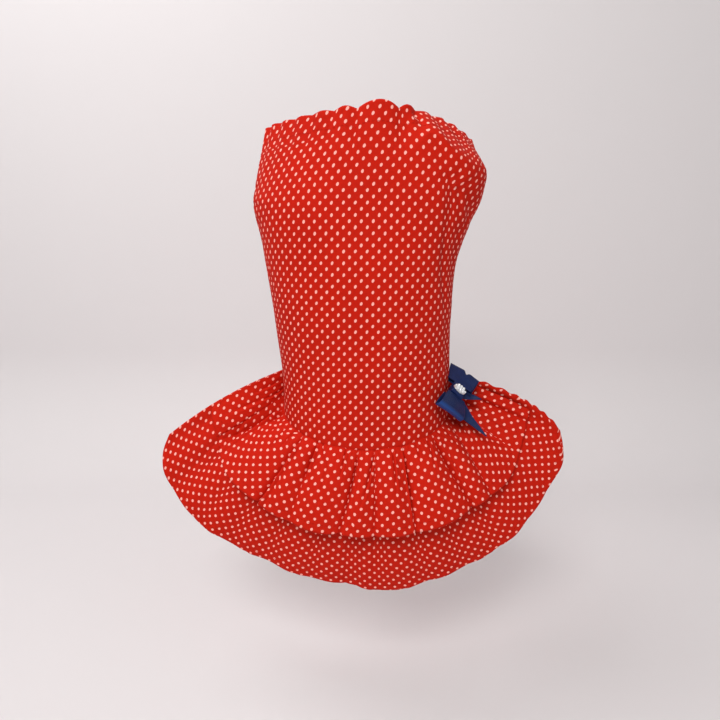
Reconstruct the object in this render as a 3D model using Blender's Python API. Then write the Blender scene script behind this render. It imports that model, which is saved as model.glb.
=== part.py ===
"""A small dog's dress: a sleeveless bodice with a gathered neck, two gathered skirt tiers and a ribbon bow.

The dress hangs upright and filled out, as it is worn, with the middle of its back towards -Y, its neck up and
+X to the right of someone who looks at its back. The origin is the middle of the neck opening, where the
wearer's neck carries it. Tables are in millimetres and degrees. An angle is taken round the body from the middle
of the back: 0 is the middle of the back, 90 the wearer's one flank (+X), 180 the middle of the belly.
"""

import bpy
import numpy as np

MM = 0.001

# Driving sizes
CLOTH = 1.2 * MM          # wall of the cotton
RIBBON = 1.0 * MM         # wall of the satin ribbon
SEAM_GAP = 0.3 * MM       # between two pieces that a seam joins
NECK_FOLD_REACH = 17.0    # how far the gathers run down from the neck edge
GATHER_BULGE = 1.0        # how far a neck gather stands out, and its notch goes in
CHEST_LINE = -36.0        # height up to which the girth table runs
SHOULDER_ROUND = 0.12     # how softly the cloth turns from the chest towards the neck edge
TAIL_LINE = -160.0        # below this height the back panel's rows follow its curved lower edge
TAIL_END = -200.0         # height of the lower edge at the middle of the back
BELLY_END = -162.0        # height of the belly panel's hem
LEFT_LIFT, RIGHT_LIFT = -0.05, 0.0  # how far the upper tier's ends are lifted as they stand off
FLANK_CREST = 30.0        # how far both tiers are arched upwards on the right flank
UPPER_SPAN = 0.985        # share of the seam that the upper tier takes: the lower one shows beyond it on the right
RIPPLE_FULL = 0.45        # share of a tier's length at which its ripples are full
HEM_FLATTENING = 0.45     # share of their height that they lose at the hem
TUCK_RISE = 2.2 * MM      # how far the lower tier's top edge goes up behind the bodice
TUCK_END, TUCK_FADE = 0.66, 0.10  # share of the half seam where the tuck has ended, and over which it fades

# The body's girth: half widths to either side, depth of the back and of the belly, and how boxy each back quarter is
BODY = np.array([
    # height, left, right, back, belly, left_square, right_square
    (-200.0, 56.5, 56.5, 52.0, 46.0, 2.3, 2.3),
    (-162.0, 56.6, 56.6, 52.5, 47.0, 2.3, 2.3),
    (-135.0, 59.6, 56.2, 54.0, 48.5, 2.3, 2.3),
    (-111.0, 62.4, 56.8, 55.5, 50.0, 2.3, 2.4),
    (-98.0, 64.3, 57.2, 56.3, 51.0, 2.3, 2.4),
    (-85.0, 66.2, 58.8, 57.0, 51.8, 2.3, 2.5),
    (-73.0, 68.0, 62.4, 57.6, 52.5, 2.3, 2.6),
    (-60.0, 71.2, 67.4, 58.0, 53.0, 2.3, 2.7),
    (-50.0, 75.2, 71.8, 58.0, 53.0, 2.3, 2.8),
    (-36.0, 76.2, 75.2, 58.0, 53.0, 2.3, 2.8),
])

# The neck edge: on the right of the back the cloth folds over the shoulder and runs inwards to it
NECK = np.array([
    # angle, across, forward, height
    (-180.0, 3.0, -47.0, -7.0),
    (-150.0, -29.0, -42.0, -6.5),
    (-120.0, -54.0, -26.0, -4.5),
    (-92.0, -63.0, -1.0, -4.6),
    (-78.0, -62.6, 9.0, -5.2),
    (-60.0, -54.5, 23.0, -5.0),
    (-45.0, -42.5, 36.5, -5.2),
    (-30.0, -27.5, 48.0, -4.8),
    (-15.0, -12.0, 55.5, -4.6),
    (2.0, 6.0, 58.0, -5.2),
    (15.0, 18.5, 54.5, -4.0),
    (25.0, 27.5, 42.0, -1.8),
    (38.0, 41.0, 25.0, -1.2),
    (55.0, 54.5, 9.0, -3.0),
    (75.0, 67.5, -12.0, -6.0),
    (90.0, 71.5, -22.0, -7.0),
    (120.0, 60.0, -38.0, -7.0),
    (150.0, 33.0, -46.0, -7.5),
    (180.0, 3.0, -47.0, -7.0),
])

# Where the cloth turns from the upright chest towards the neck edge: higher along the fold over the right shoulder
CHEST = np.array([
    # angle, height
    (-180.0, -36.0),
    (10.0, -36.0),
    (20.0, -24.0),
    (25.0, -16.0),
    (30.0, -18.0),
    (36.0, -25.0),
    (45.0, -31.0),
    (60.0, -32.0),
    (90.0, -36.0),
    (180.0, -36.0),
])

# Where the back and belly panels end at each side: together at a seam, apart round a leg hole
SIDES = np.array([
    # height, back_left, belly_left, back_right, belly_right
    (-200.0, -86.0, -86.0, 86.0, 86.0),
    (-162.0, -87.0, -87.0, 87.0, 87.0),
    (-120.0, -85.0, -85.0, 91.0, 91.0),
    (-90.0, -81.0, -81.0, 94.0, 94.0),
    (-70.0, -76.0, -76.0, 93.0, 93.0),
    (-58.5, -74.0, -76.0, 92.0, 94.0),
    (-55.0, -73.5, -92.0, 91.0, 109.0),
    (-47.0, -73.0, -106.0, 90.0, 123.0),
    (-36.0, -74.0, -110.0, 90.0, 127.0),
    (-24.0, -77.0, -107.0, 93.0, 124.0),
    (-17.0, -83.0, -101.0, 99.0, 118.0),
    (-14.0, -91.0, -93.0, 106.0, 110.0),
    (-11.0, -92.0, -92.0, 108.0, 108.0),
    (0.0, -92.0, -92.0, 108.0, 108.0),
])

# The back panel's lower edge, lowest at the middle and rounded up at the flanks
TAIL = np.array([
    # angle, height
    (0.0, -200.0),
    (30.0, -196.6),
    (45.0, -193.0),
    (60.0, -190.0),
    (76.0, -186.0),
    (82.0, -182.0),
    (87.0, -175.0),
])

# Gathers along the elastic neck edge, from the left shoulder round the back to the right shoulder
BACK_GATHERS = np.array([
    # start_angle, rise of the scallop
    (-92.0, 0.2), (-80.0, 0.3), (-68.0, 0.4), (-56.0, 0.4), (-45.0, 0.5), (-34.0, 0.9),
    (-21.5, 1.8), (-9.0, 5.0), (14.0, 2.4), (25.0, 0.5), (36.0, 0.3), (48.0, 0.3),
    (60.0, 0.3), (74.0, 0.3), (90.0, 0.6), (108.0, 0.0),
])
BELLY_GATHER_COUNT = 12
BELLY_GATHER_RISE = 1.3
SHOULDER_SEAMS = (-92.0, 108.0, 268.0)
SEAM_FLAT = 9.0           # angle either side of a shoulder seam in which the gathers die away
SEAM_RADIUS = 36.0        # turns the gap at a seam into an angle, with room for the gathers beside it

# Hem of the lower tier
HEM = np.array([
    # across, forward, height
    (-131.0, 17.0, -201.0),
    (-136.0, 20.0, -214.5),
    (-131.2, 25.0, -232.7),
    (-111.5, 33.0, -257.5),
    (-95.5, 37.0, -268.5),
    (-68.8, 42.0, -279.5),
    (-43.7, 45.0, -289.5),
    (-14.2, 47.0, -294.5),
    (13.7, 48.0, -299.0),
    (48.1, 46.0, -291.0),
    (72.5, 42.0, -281.5),
    (97.0, 37.0, -268.0),
    (111.2, 32.0, -249.5),
    (127.6, 24.0, -225.5),
    (132.8, 20.0, -212.5),
    (128.3, 17.0, -200.5),
])

# Ripples of the two tiers: ridges and troughs in turn, each running from the seam to the hem
LOWER_RIPPLES = np.array([
    # share of the seam, share of the hem, height
    (0.000, 0.000, 0.4), (0.035, 0.030, -1.2), (0.075, 0.068, 1.2), (0.110, 0.105, -1.2), (0.150, 0.140, 1.0),
    (0.180, 0.175, -1.0), (0.215, 0.205, 0.8), (0.250, 0.240, -1.2), (0.290, 0.280, 1.2), (0.325, 0.318, -0.9),
    (0.365, 0.360, 1.2), (0.405, 0.400, -0.8), (0.440, 0.438, 1.0), (0.478, 0.474, -1.4), (0.505, 0.505, 0.6),
    (0.530, 0.532, -1.2), (0.570, 0.575, 1.2), (0.605, 0.612, -1.0), (0.640, 0.648, 0.8), (0.672, 0.684, -1.0),
    (0.710, 0.722, 1.2), (0.750, 0.758, -1.1), (0.785, 0.792, 0.9), (0.820, 0.826, -1.0), (0.862, 0.862, 1.0),
    (0.900, 0.898, -0.8), (0.935, 0.934, 0.8), (0.968, 0.968, -1.0), (1.000, 1.000, 2.6),
])
UPPER_RIPPLES = np.array([
    # share of the seam, share of the hem, height
    (0.000, 0.000, 0.8), (0.062, 0.045, 2.0), (0.131, 0.091, -3.0), (0.218, 0.182, 2.8), (0.303, 0.272, -3.2),
    (0.330, 0.312, 2.2), (0.358, 0.348, -2.2), (0.420, 0.400, 2.6), (0.484, 0.452, -2.6), (0.508, 0.488, 1.8),
    (0.531, 0.524, -1.8), (0.572, 0.567, 2.6), (0.614, 0.609, -2.8), (0.668, 0.674, 2.8), (0.719, 0.737, -3.0),
    (0.768, 0.764, 2.0), (0.812, 0.789, -1.8), (0.855, 0.862, 2.0), (0.898, 0.914, -0.8), (0.938, 0.945, 1.4),
    (0.968, 0.974, -0.2), (1.000, 1.000, 0.4),
])

# Soft troughs in the bodice, each along a line from an upper to a lower place: beside and below the right shoulder's
# shelf, and on the belly
TROUGHS = np.array([
    # upper_angle, upper_height, lower_angle, lower_height, depth, half_width
    (35.0, -36.0, 57.0, -118.0, 1.7, 4.2),
    (44.0, -44.0, 70.0, -64.0, 1.6, 9.0),
    (150.0, -50.0, 135.0, -120.0, 1.6, 6.0),
    (215.0, -60.0, 222.0, -135.0, 1.4, 6.0),
])
DEGREE_LENGTH = 1.05      # length round the body of one degree

# The upper tier's length from its seam to its hem, measured along the lower one, and how far its hem stands off it
UPPER_FALLS = np.array([
    # share of the strip, length, rise
    (0.00, 52.0, 8.0),
    (0.15, 48.0, 9.0),
    (0.30, 47.0, 9.5),
    (0.42, 48.8, 9.5),
    (0.50, 48.2, 9.5),
    (0.60, 49.4, 9.5),
    (0.70, 49.0, 9.5),
    (0.76, 49.0, 9.5),
    (0.82, 52.0, 7.5),
    (0.87, 55.0, 4.5),
    (0.92, 57.0, 2.6),
    (1.00, 59.0, 2.0),
])

# The bow on the right flank: its middle, the way its loops lie and the way it faces
BOW_MIDDLE = np.array([58.5, -27.0, -169.5]) * MM
BOW_ALONG = np.array([0.37, 0.83, 0.45])
BOW_FACING = np.array([0.52, -0.57, 0.62])
RIBBON_WIDTH = 24.0 * MM
LOOP_FOOT = 1.6 * MM      # half the loop's height where it leaves the knot
LOOP_BLUNT = 0.55         # how blunt the round end of a loop is: less is blunter
KNOT_LENGTH, KNOT_WIDTH = 9.0 * MM, 9.5 * MM
KNOT_TOP, KNOT_ROUND = 3.4 * MM, 1.0 * MM
KNOT_FOOT = (66.0, -174.0)  # angle and height on the back panel where the bow is tied down
FOOT_RADIUS = 55.0 * MM
JEWEL_LENGTH, JEWEL_WIDTH, JEWEL_HEIGHT = 5.8 * MM, 9.0 * MM, 2.6 * MM
# Each loop: middle of its end, the way its width lies, its start from the bow's middle, thickness, how far its middle
# is raised like a roof, how closely its layers lie on the right, and its width at the knot as a share of the ribbon's
UPPER_LOOP = ((66.2, -13.0, -159.7), (17.8, -16.0, -10.0), 7.3, 3.2, 1.6, 0.5, 0.44)
LOWER_LOOP = ((51.8, -43.5, -178.4), (17.2, 10.0, -14.2), 6.7, 6.4, 0.8, 0.0, 0.36)

# The two ribbon ends, from the knot to the slanted tip: one edge and the other
SIDE_END = np.array([
    # x, y, z of the upper edge, then of the lower edge
    (64.9, -25.1, -170.4, 61.7, -26.4, -174.3),
    (70.2, -24.0, -172.0, 68.6, -25.0, -175.3),
    (75.6, -24.6, -174.9, 75.4, -24.8, -175.4),
])
HANGING_END = np.array([
    # x, y, z of the left edge, then of the right edge
    (59.6, -28.4, -175.0, 63.2, -26.6, -175.6),
    (61.4, -28.6, -181.0, 66.6, -27.6, -181.0),
    (62.9, -28.8, -186.9, 70.3, -28.6, -187.0),
    (69.2, -31.8, -191.6, 73.8, -32.0, -191.4),
    (76.8, -36.2, -196.6, 77.6, -36.2, -196.8),
])

# Colours, with roughness and metallic value
RED_COTTON = ((0.58, 0.022, 0.016, 1.0), 0.80, 0.0)
NAVY_SATIN = ((0.018, 0.030, 0.115, 1.0), 0.35, 0.0)
CLEAR_STONE = ((0.80, 0.80, 0.82, 1.0), 0.20, 0.6)


def smooth_curve(knots, values, at):
    """Cubic curve through (knots, values): between two knots, a Hermite cubic with the slopes of the neighbours."""
    knots, values, at = (np.asarray(part, float) for part in (knots, values, at))
    slopes = np.gradient(values, knots)
    i = np.clip(np.searchsorted(knots, at, side="right") - 1, 0, len(knots) - 2)
    step = knots[i + 1] - knots[i]
    t = np.clip((at - knots[i]) / step, 0.0, 1.0)
    start = (1 + 2 * t) * (1 - t) ** 2 * values[i] + t * (1 - t) ** 2 * step * slopes[i]
    end = t * t * (3 - 2 * t) * values[i + 1] + t * t * (t - 1) * step * slopes[i + 1]
    return start + end


def fold_curve(knots, values, at):
    """Folds between ridges and troughs: a quarter sine wave each, level on the ridge and creased in the trough."""
    i = np.clip(np.searchsorted(knots, at, side="right") - 1, 0, len(knots) - 2)
    t = np.clip((at - knots[i]) / (knots[i + 1] - knots[i]), 0.0, 1.0)
    from_trough = values[i + 1] > values[i]
    rise = np.sin(np.pi / 2 * np.where(from_trough, t, 1 - t))
    low, high = np.minimum(values[i], values[i + 1]), np.maximum(values[i], values[i + 1])
    return low + (high - low) * rise


def wave_curve(knots, values, at):
    """Soft waves between ridges and troughs: half a cosine wave each, level on both."""
    i = np.clip(np.searchsorted(knots, at, side="right") - 1, 0, len(knots) - 2)
    t = np.clip((at - knots[i]) / (knots[i + 1] - knots[i]), 0.0, 1.0)
    return values[i] + (values[i + 1] - values[i]) * (1 - np.cos(np.pi * t)) / 2


def unit(vectors):
    """The vectors at length 1."""
    return vectors / np.linalg.norm(vectors, axis=-1, keepdims=True)


def along_line(points, shares):
    """Points at the given shares of the length of a line."""
    steps = np.linalg.norm(np.diff(points, axis=0), axis=1)
    length = np.concatenate(([0.0], np.cumsum(steps)))
    return np.stack([np.interp(shares * length[-1], length, points[:, k]) for k in range(3)], axis=1)


def gathers():
    """Start angles and scallop rises of every neck gather, once round from the left shoulder."""
    belly = np.linspace(108.0, 268.0, BELLY_GATHER_COUNT + 1)
    start = np.concatenate((BACK_GATHERS[:-1, 0], belly))
    rise = np.concatenate((BACK_GATHERS[:-1, 1], np.full(BELLY_GATHER_COUNT, BELLY_GATHER_RISE), [0.0]))
    return start, rise


def girth(angle, height):
    """Place on the body's section at a height: a rounded box whose quarters have their own width and depth."""
    turn = np.radians(angle)
    across, forward = np.sin(turn), np.cos(turn)
    column = {name: smooth_curve(BODY[:, 0], BODY[:, k + 1], height)
              for k, name in enumerate(("left", "right", "back", "belly", "left_square", "right_square"))}
    wide = np.where(across < 0, column["left"], column["right"])
    deep = np.where(forward < 0, column["belly"], column["back"])
    power = np.where(forward < 0, 2.3, np.where(across < 0, column["left_square"], column["right_square"]))
    reach = (np.abs(across) ** power + np.abs(forward) ** power) ** (-1.0 / power)
    return wide * across * reach, deep * forward * reach


def trough_depth(angle, height):
    """How far the troughs press the bodice in: deepest midway along each line, fading to its sides and ends."""
    depth = np.zeros(angle.shape)
    for upper_angle, upper_height, lower_angle, lower_height, deepest, half_width in TROUGHS:
        down = np.clip((upper_height - height) / (upper_height - lower_height), 0.0, 1.0)
        aside = (angle - upper_angle - (lower_angle - upper_angle) * down) * DEGREE_LENGTH / half_width
        depth += deepest * np.sin(np.pi * down) ** 0.8 * np.exp(-aside ** 2)
    return depth


def body(angle, height):
    """The bodice's middle surface in metres: sections up to the chest, then a soft turn to the gathered neck edge."""
    angle, height = np.broadcast_arrays(np.asarray(angle, float), np.asarray(height, float))
    across, forward = girth(angle, np.minimum(height, CHEST_LINE))
    round_angle = np.mod(angle + 180.0, 360.0) - 180.0
    chest = smooth_curve(CHEST[:, 0], CHEST[:, 1], round_angle)
    up = np.clip((height - chest) / -chest, 0.0, 1.0)
    inward = up ** 2 * (1.0 + SHOULDER_ROUND) / (up + SHOULDER_ROUND)
    edge = [smooth_curve(NECK[:, 0], NECK[:, k], round_angle) for k in (1, 2, 3)]
    start, rise = gathers()
    around = np.mod(angle + 92.0, 360.0) - 92.0
    i = np.clip(np.searchsorted(start, around, side="right") - 1, 0, len(start) - 2)
    arc = np.sin(np.pi * np.clip((around - start[i]) / (start[i + 1] - start[i]), 0.0, 1.0))
    fade = np.exp((np.minimum(height, 0.0)) / NECK_FOLD_REACH) * np.clip(up * 3.0, 0.0, 1.0)
    x = across + (edge[0] - across) * inward
    y = forward + (edge[1] - forward) * inward
    off_seam = np.clip(np.minimum.reduce([np.abs(around - seam) for seam in SHOULDER_SEAMS]) / SEAM_FLAT, 0.0, 1.0)
    bulge = GATHER_BULGE * (2.0 * arc ** 2 - 1.0) * fade * off_seam - trough_depth(around, height)
    z = np.minimum(height, chest) + (edge[2] - chest + rise[i] * arc ** 0.6) * up
    turn = np.radians(angle)
    return np.stack([x + bulge * np.sin(turn), -(y + bulge * np.cos(turn)), z], axis=-1) * MM


def surface_normals(points):
    """Unit normals of a grid of points, across its rows and columns."""
    return unit(np.cross(np.gradient(points, axis=1), np.gradient(points, axis=0)))


def cloth_solid(name, points, thickness, finish):
    """A closed wall round a grid of points: the grid moved half the thickness out and in, and stitched at its rim."""
    normals = surface_normals(points) * thickness / 2
    return solid_between(name, points + normals, points - normals, finish)


def solid_between(name, outside, inside, finish):
    """A closed solid between two grids of points, stitched at their rims."""
    rows, columns = outside.shape[:2]
    vertices = np.concatenate((outside.reshape(-1, 3), inside.reshape(-1, 3)))
    index = np.arange(rows * columns).reshape(rows, columns)
    outer = np.stack([index[:-1, :-1], index[:-1, 1:], index[1:, 1:], index[1:, :-1]], axis=-1).reshape(-1, 4)
    inner = outer[:, ::-1] + rows * columns
    rim = np.concatenate((index[0, :], index[1:, -1], index[-1, -2::-1], index[-2:0:-1, 0]))
    after = np.roll(rim, -1)
    edge = np.stack([after, rim, rim + rows * columns, after + rows * columns], axis=-1)
    return make_object(name, vertices, np.concatenate((outer, inner, edge)), finish)


def holds_inside(vertices, faces):
    """Volume inside the faces: below 0 where they point inwards."""
    corners = [vertices[list(face)] for face in faces]
    return sum(np.dot(c[0], np.cross(c[i], c[i + 1])) for c in corners for i in range(1, len(c) - 1)) / 6.0


def make_object(name, vertices, faces, finish):
    """A named object from vertices and faces turned outwards, with its own material."""
    if holds_inside(vertices, faces) < 0.0:
        faces = [list(face)[::-1] for face in faces]
    mesh = bpy.data.meshes.new(name)
    mesh.from_pydata([tuple(v) for v in vertices], [], [tuple(int(i) for i in f) for f in faces])
    colour, roughness, metallic = finish
    material = bpy.data.materials.new(name + "_material")
    material.use_nodes = True
    shader = material.node_tree.nodes["Principled BSDF"]
    shader.inputs["Base Color"].default_value = colour
    shader.inputs["Roughness"].default_value = roughness
    shader.inputs["Metallic"].default_value = metallic
    mesh.materials.append(material)
    mesh.shade_smooth()
    mesh.set_sharp_from_angle(angle=np.radians(50.0))
    item = bpy.data.objects.new(name, mesh)
    bpy.context.scene.collection.objects.link(item)
    return item


def side_angle(column, height):
    """Angle of one panel's side edge at a height."""
    return np.interp(height, SIDES[:, 0], SIDES[:, column])


def tail_height(angle):
    """Height of the back panel's lower edge at an angle."""
    return smooth_curve(TAIL[:, 0], TAIL[:, 1], np.abs(angle))


PANEL_HEIGHTS = np.array([-200, -190, -180, -170, -160, -145, -130, -115, -100, -87, -76, -67, -61, -57.5, -53, -48,
                          -42, -36, -30, -24, -19, -15.5, -12, -8, -4, 0], float)


def back_shares():
    """Columns of the back panel: three in each neck gather, so that every notch has one."""
    start = BACK_GATHERS[:, 0]
    parts = [np.linspace(a, b, 4 if b - a < 20 else 6)[:-1] for a, b in zip(start[:-1], start[1:])]
    angles = np.concatenate(parts + [start[-1:]])
    return (angles - start[0]) / (start[-1] - start[0])


def back_points(shares, heights):
    """The back panel: its rows follow its own lower edge at the tail, and are level above it."""
    half_gap = SEAM_GAP / MM / 2
    share, height = np.meshgrid(shares, heights)
    tail = tail_height(-86.0 + 172.0 * share)
    height = np.where(height < TAIL_LINE, TAIL_LINE + (height - TAIL_LINE) * (TAIL_LINE - tail) / (TAIL_LINE - TAIL_END),
                      height)
    gap = np.degrees(half_gap / SEAM_RADIUS)
    left, right = side_angle(1, height) + gap, side_angle(3, height) - gap
    return body(left + (right - left) * share, height)


def back_panel():
    """Back of the bodice, from the neck edge to the curved tail that the skirt is gathered to."""
    return cloth_solid("back_panel", back_points(back_shares(), PANEL_HEIGHTS), CLOTH, RED_COTTON)


def belly_panel():
    """Belly of the bodice, from the neck edge to its hem at the waist, with the far side of both leg holes."""
    heights = np.concatenate(([BELLY_END], PANEL_HEIGHTS[5:]))
    share, height = np.meshgrid(np.linspace(0.0, 1.0, 2 * BELLY_GATHER_COUNT + 1), heights)
    gap = np.degrees(SEAM_GAP / MM / 2 / SEAM_RADIUS)
    right, left = side_angle(4, height) + gap, side_angle(2, height) + 360.0 - gap
    return cloth_solid("belly_panel", body(right + (left - right) * share, height), CLOTH, RED_COTTON)


def tail_seam(shares):
    """The seam that carries the skirt: up the left flank's edge, round the tail and up the right flank's edge."""
    heights = np.linspace(TAIL_LINE, TAIL_END, 9)
    flank = back_points(np.array([0.0, 1.0]), heights)
    lower = back_points(np.linspace(0.0, 1.0, 121), np.array([TAIL_END]))[0]
    line = np.concatenate((flank[:-1, 0], lower, flank[-2::-1, 1]))
    return along_line(line, shares)


def hem_line(shares):
    """The lower tier's hem, at equal steps of its length."""
    rows = np.arange(len(HEM))
    fine = np.linspace(0, len(HEM) - 1, 400)
    line = np.stack([smooth_curve(rows, HEM[:, k], fine) for k in range(3)], axis=1) * MM
    line[:, 1] *= -1.0
    return along_line(line, shares)


def skirt_base(shares, lengths, tier_length=None):
    """The skirt without its ripples: straight from the seam to the hem, arched outwards, and upwards at the flanks."""
    share, t = np.meshgrid(shares, lengths)
    seam, hem = tail_seam(shares)[None], hem_line(shares)[None]
    t = t[..., None]
    if tier_length is not None:
        t = t * (tier_length / np.linalg.norm(hem - seam, axis=-1))[..., None]
    end = np.abs(2 * share - 1) ** 4
    arch = np.stack([np.zeros_like(share), -8.0 + 5.0 * end, np.where(share < 0.5, 4.5 * end, 0.0)], axis=-1) * MM
    crest = np.stack([np.zeros_like(share)] * 2 + [np.where(share < 0.5, 0.0, FLANK_CREST * end)], axis=-1) * MM
    held = np.clip(t, 0.0, 1.0)
    return seam + (hem - seam) * t + arch * 4 * t * (1 - t) + crest * held ** 1.2 * (1 - held) ** 0.6


def ripples(table, shares, lengths, curve):
    """Ripple height over the tier: each ridge and trough runs from its share of the seam to its share of the hem.

    The ripples grow fast below the seam, where the gathers hold the cloth, and flatten again towards the hem.
    """
    rows = [curve(table[:, 0] + (table[:, 1] - table[:, 0]) * t, table[:, 2], shares) * ripple_growth(t) for t in lengths]
    return np.stack(rows)[..., None] * MM


def ripple_growth(t):
    """Share of a ripple's height at a share t of the way from the seam to the hem."""
    return np.minimum(t / RIPPLE_FULL, 1.0) ** 0.7 * (1.0 - HEM_FLATTENING * t ** 2)


def tier_shares(table):
    """Columns of a tier: three in each half ripple, so that every ridge and trough has one."""
    steps = np.arange(3 * len(table) - 2) / 3
    return np.interp(steps, np.arange(len(table)), table[:, 1])


def seam_start(shares, facing):
    """Offset of a tier's top edge from the seam: clear below the bodice's edge, and to its outer or inner side."""
    below, above = skirt_base(shares, [0.06, 0.05])
    end = np.abs(2 * shares[:, None] - 1) ** 4
    return unit(below - above) * (CLOTH / 2 + SEAM_GAP * (1.5 + 4.2 * end)) + facing * (CLOTH + SEAM_GAP) / 2


def lower_tier_points(shares, lengths):
    """Middle surface of the long tier: round the tail its top edge is tucked up behind the bodice."""
    base = skirt_base(shares, lengths)
    normal = surface_normals(base)
    points = base + normal * ripples(LOWER_RIPPLES, shares, lengths, wave_curve)
    from_end = (TUCK_END - np.abs(2 * shares - 1))[:, None] / TUCK_FADE
    inside, raised = np.clip(from_end, 0.0, 1.0), np.clip(from_end - 1.0, 0.0, 1.0)
    outward = unit(base[-1] * (1.0, 1.0, 0.0))
    behind = -outward * (CLOTH + 2.0 * SEAM_GAP) - np.array((0.0, 0.0, CLOTH / 2 + SEAM_GAP))
    points += behind * inside + seam_start(shares, -normal[-1]) * (1 - inside)
    points[-1] += raised * (0.0, 0.0, TUCK_RISE)
    return points


def upper_tier_points(shares, lengths):
    """Middle surface of the short tier: the long tier's base, moved out more and more towards its hem."""
    lengths = np.asarray(lengths)
    places = shares * UPPER_SPAN
    base = skirt_base(places, lengths, smooth_curve(UPPER_FALLS[:, 0], UPPER_FALLS[:, 1], shares) * MM)
    normal = surface_normals(base)
    end = np.abs(2 * shares - 1) ** 4
    upwards = end * np.where(shares < 0.5, LEFT_LIFT, RIGHT_LIFT)
    lift = unit(normal + np.stack([0 * end, 0 * end, upwards], axis=1)[None])
    stand_off = smooth_curve(UPPER_FALLS[:, 0], UPPER_FALLS[:, 2], shares) * MM
    rise = (lengths[:, None] ** 0.9 * stand_off)[..., None]
    return (base + seam_start(places, normal[-1])[None] + lift * rise
            + normal * ripples(UPPER_RIPPLES, shares, lengths, fold_curve))


def skirt_tiers():
    """The long tier and the short tier over it, both gathered to the tail seam from flank to flank."""
    lower = lower_tier_points(tier_shares(LOWER_RIPPLES), np.append(np.linspace(1.0, 0.1, 9), (0.05, 0.02, 0.0)))
    upper = upper_tier_points(tier_shares(UPPER_RIPPLES), np.linspace(1.0, 0.0, 8))
    return cloth_solid("skirt_lower_tier", lower, CLOTH, RED_COTTON), cloth_solid("skirt_upper_tier", upper, CLOTH, RED_COTTON)


def bow_frame():
    """The bow's directions: along its loops, across its ribbon, and the way it faces."""
    facing = unit(BOW_FACING)
    along = unit(BOW_ALONG - facing * np.dot(BOW_ALONG, facing))
    return along, np.cross(along, facing), facing


def bow_loop(name, side, end, across, start, thickness, roof, closing, root):
    """A loop of ribbon: out from the knot, round its blunt end and back, narrower at the knot than at its end."""
    end, across = np.asarray(end) * MM, unit(np.asarray(across))
    along = end - BOW_MIDDLE
    reach = np.linalg.norm(along)
    along = along / reach
    facing = unit(np.cross(along, across)) * side
    u, q = np.meshgrid(np.linspace(0.0, 1.0, 21), np.linspace(-0.5, 0.5, 5), indexing="ij")
    turn = np.pi * u
    swell = np.sin(turn) ** 0.7
    out = start * MM + (reach - start * MM) * np.sin(turn) ** 0.8
    apart = LOOP_FOOT + (thickness / 2 * MM - LOOP_FOOT) * np.sin(turn)
    height = np.sign(np.cos(turn)) * np.abs(np.cos(turn)) ** LOOP_BLUNT * apart * (1.0 - closing * (q + 0.5) * swell)
    height = height + roof * MM * (1.0 - 2.0 * np.abs(q)) * swell
    width = RIBBON_WIDTH * (root + (1.0 - root) * swell) * q
    points = BOW_MIDDLE + out[..., None] * along + width[..., None] * across + height[..., None] * facing
    return cloth_solid(name, points, RIBBON, NAVY_SATIN)


def bow_end(name, table):
    """A ribbon end: a strip between its two edges, down to its slanted tip."""
    rows = np.linspace(0.0, len(table) - 1.0, 4 * len(table) - 3)
    edges = np.stack([smooth_curve(np.arange(len(table)), table[:, k], rows) for k in range(6)], axis=1) * MM
    share = np.linspace(0.0, 1.0, 4)[None, :, None]
    return cloth_solid(name, edges[:, None, :3] * (1 - share) + edges[:, None, 3:] * share, RIBBON, NAVY_SATIN)


def bow_knot_top(p, q, size, lift):
    """Top of the knot over a grid of places from -1 to 1: level, rounded down at its rim."""
    along, across, facing = bow_frame()
    offset = p[..., None] * size[0] / 2 * along + q[..., None] * size[1] / 2 * across
    rim = np.maximum(np.abs(p) * size[0] / KNOT_LENGTH, np.abs(q) * size[1] / KNOT_WIDTH)
    return offset, BOW_MIDDLE + offset + (KNOT_TOP - KNOT_ROUND * rim ** 6 + lift)[..., None] * facing


def bow_knot():
    """The wrap that ties the bow down: its foot lies on the back panel, its top carries the stones."""
    p, q = np.meshgrid(np.linspace(-1.0, 1.0, 9), np.linspace(-1.0, 1.0, 9), indexing="ij")
    offset, top = bow_knot_top(p, q, (KNOT_LENGTH, KNOT_WIDTH), np.zeros_like(p))
    angle, height = KNOT_FOOT
    tangent = unit(body(angle + 1.0, height) - body(angle - 1.0, height))
    foot = body(angle + np.degrees(offset @ tangent / FOOT_RADIUS), height + offset[..., 2] / MM)
    outward = surface_normals(foot)
    outward *= np.sign(np.sum(outward * (top - foot), axis=-1, keepdims=True))
    return solid_between("bow_knot", top, foot + outward * (CLOTH / 2 + SEAM_GAP), NAVY_SATIN)


def bow_jewel():
    """The cluster of stones: an oval dome whose base lies on the knot's top."""
    p, q = np.meshgrid(np.linspace(-1.0, 1.0, 11), np.linspace(-1.0, 1.0, 11), indexing="ij")
    square = np.maximum(np.abs(p), np.abs(q))
    ring = square / np.maximum(np.hypot(p, q), 1e-9)
    size = (JEWEL_LENGTH, JEWEL_WIDTH)
    dome = 0.6 * MM + (JEWEL_HEIGHT - 0.6 * MM) * np.sqrt(np.clip(1 - square ** 2, 0.0, 1.0))
    base = bow_knot_top(p * ring, q * ring, size, np.full_like(p, SEAM_GAP))[1]
    top = base + dome[..., None] * bow_frame()[2]
    return solid_between("bow_jewel", top, base, CLEAR_STONE)


def bow():
    """The satin bow on the right flank: two loops, two ends, the wrap that ties it down and its cluster of stones."""
    bow_loop("bow_loop_upper", -1.0, *UPPER_LOOP)
    bow_loop("bow_loop_lower", 1.0, *LOWER_LOOP)
    bow_end("bow_end_side", SIDE_END)
    bow_end("bow_end_hanging", HANGING_END)
    bow_knot()
    bow_jewel()


def build():
    """The whole dress."""
    for item in list(bpy.data.objects):
        bpy.data.objects.remove(item, do_unlink=True)
    back_panel()
    belly_panel()
    skirt_tiers()
    bow()


build()
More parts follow.
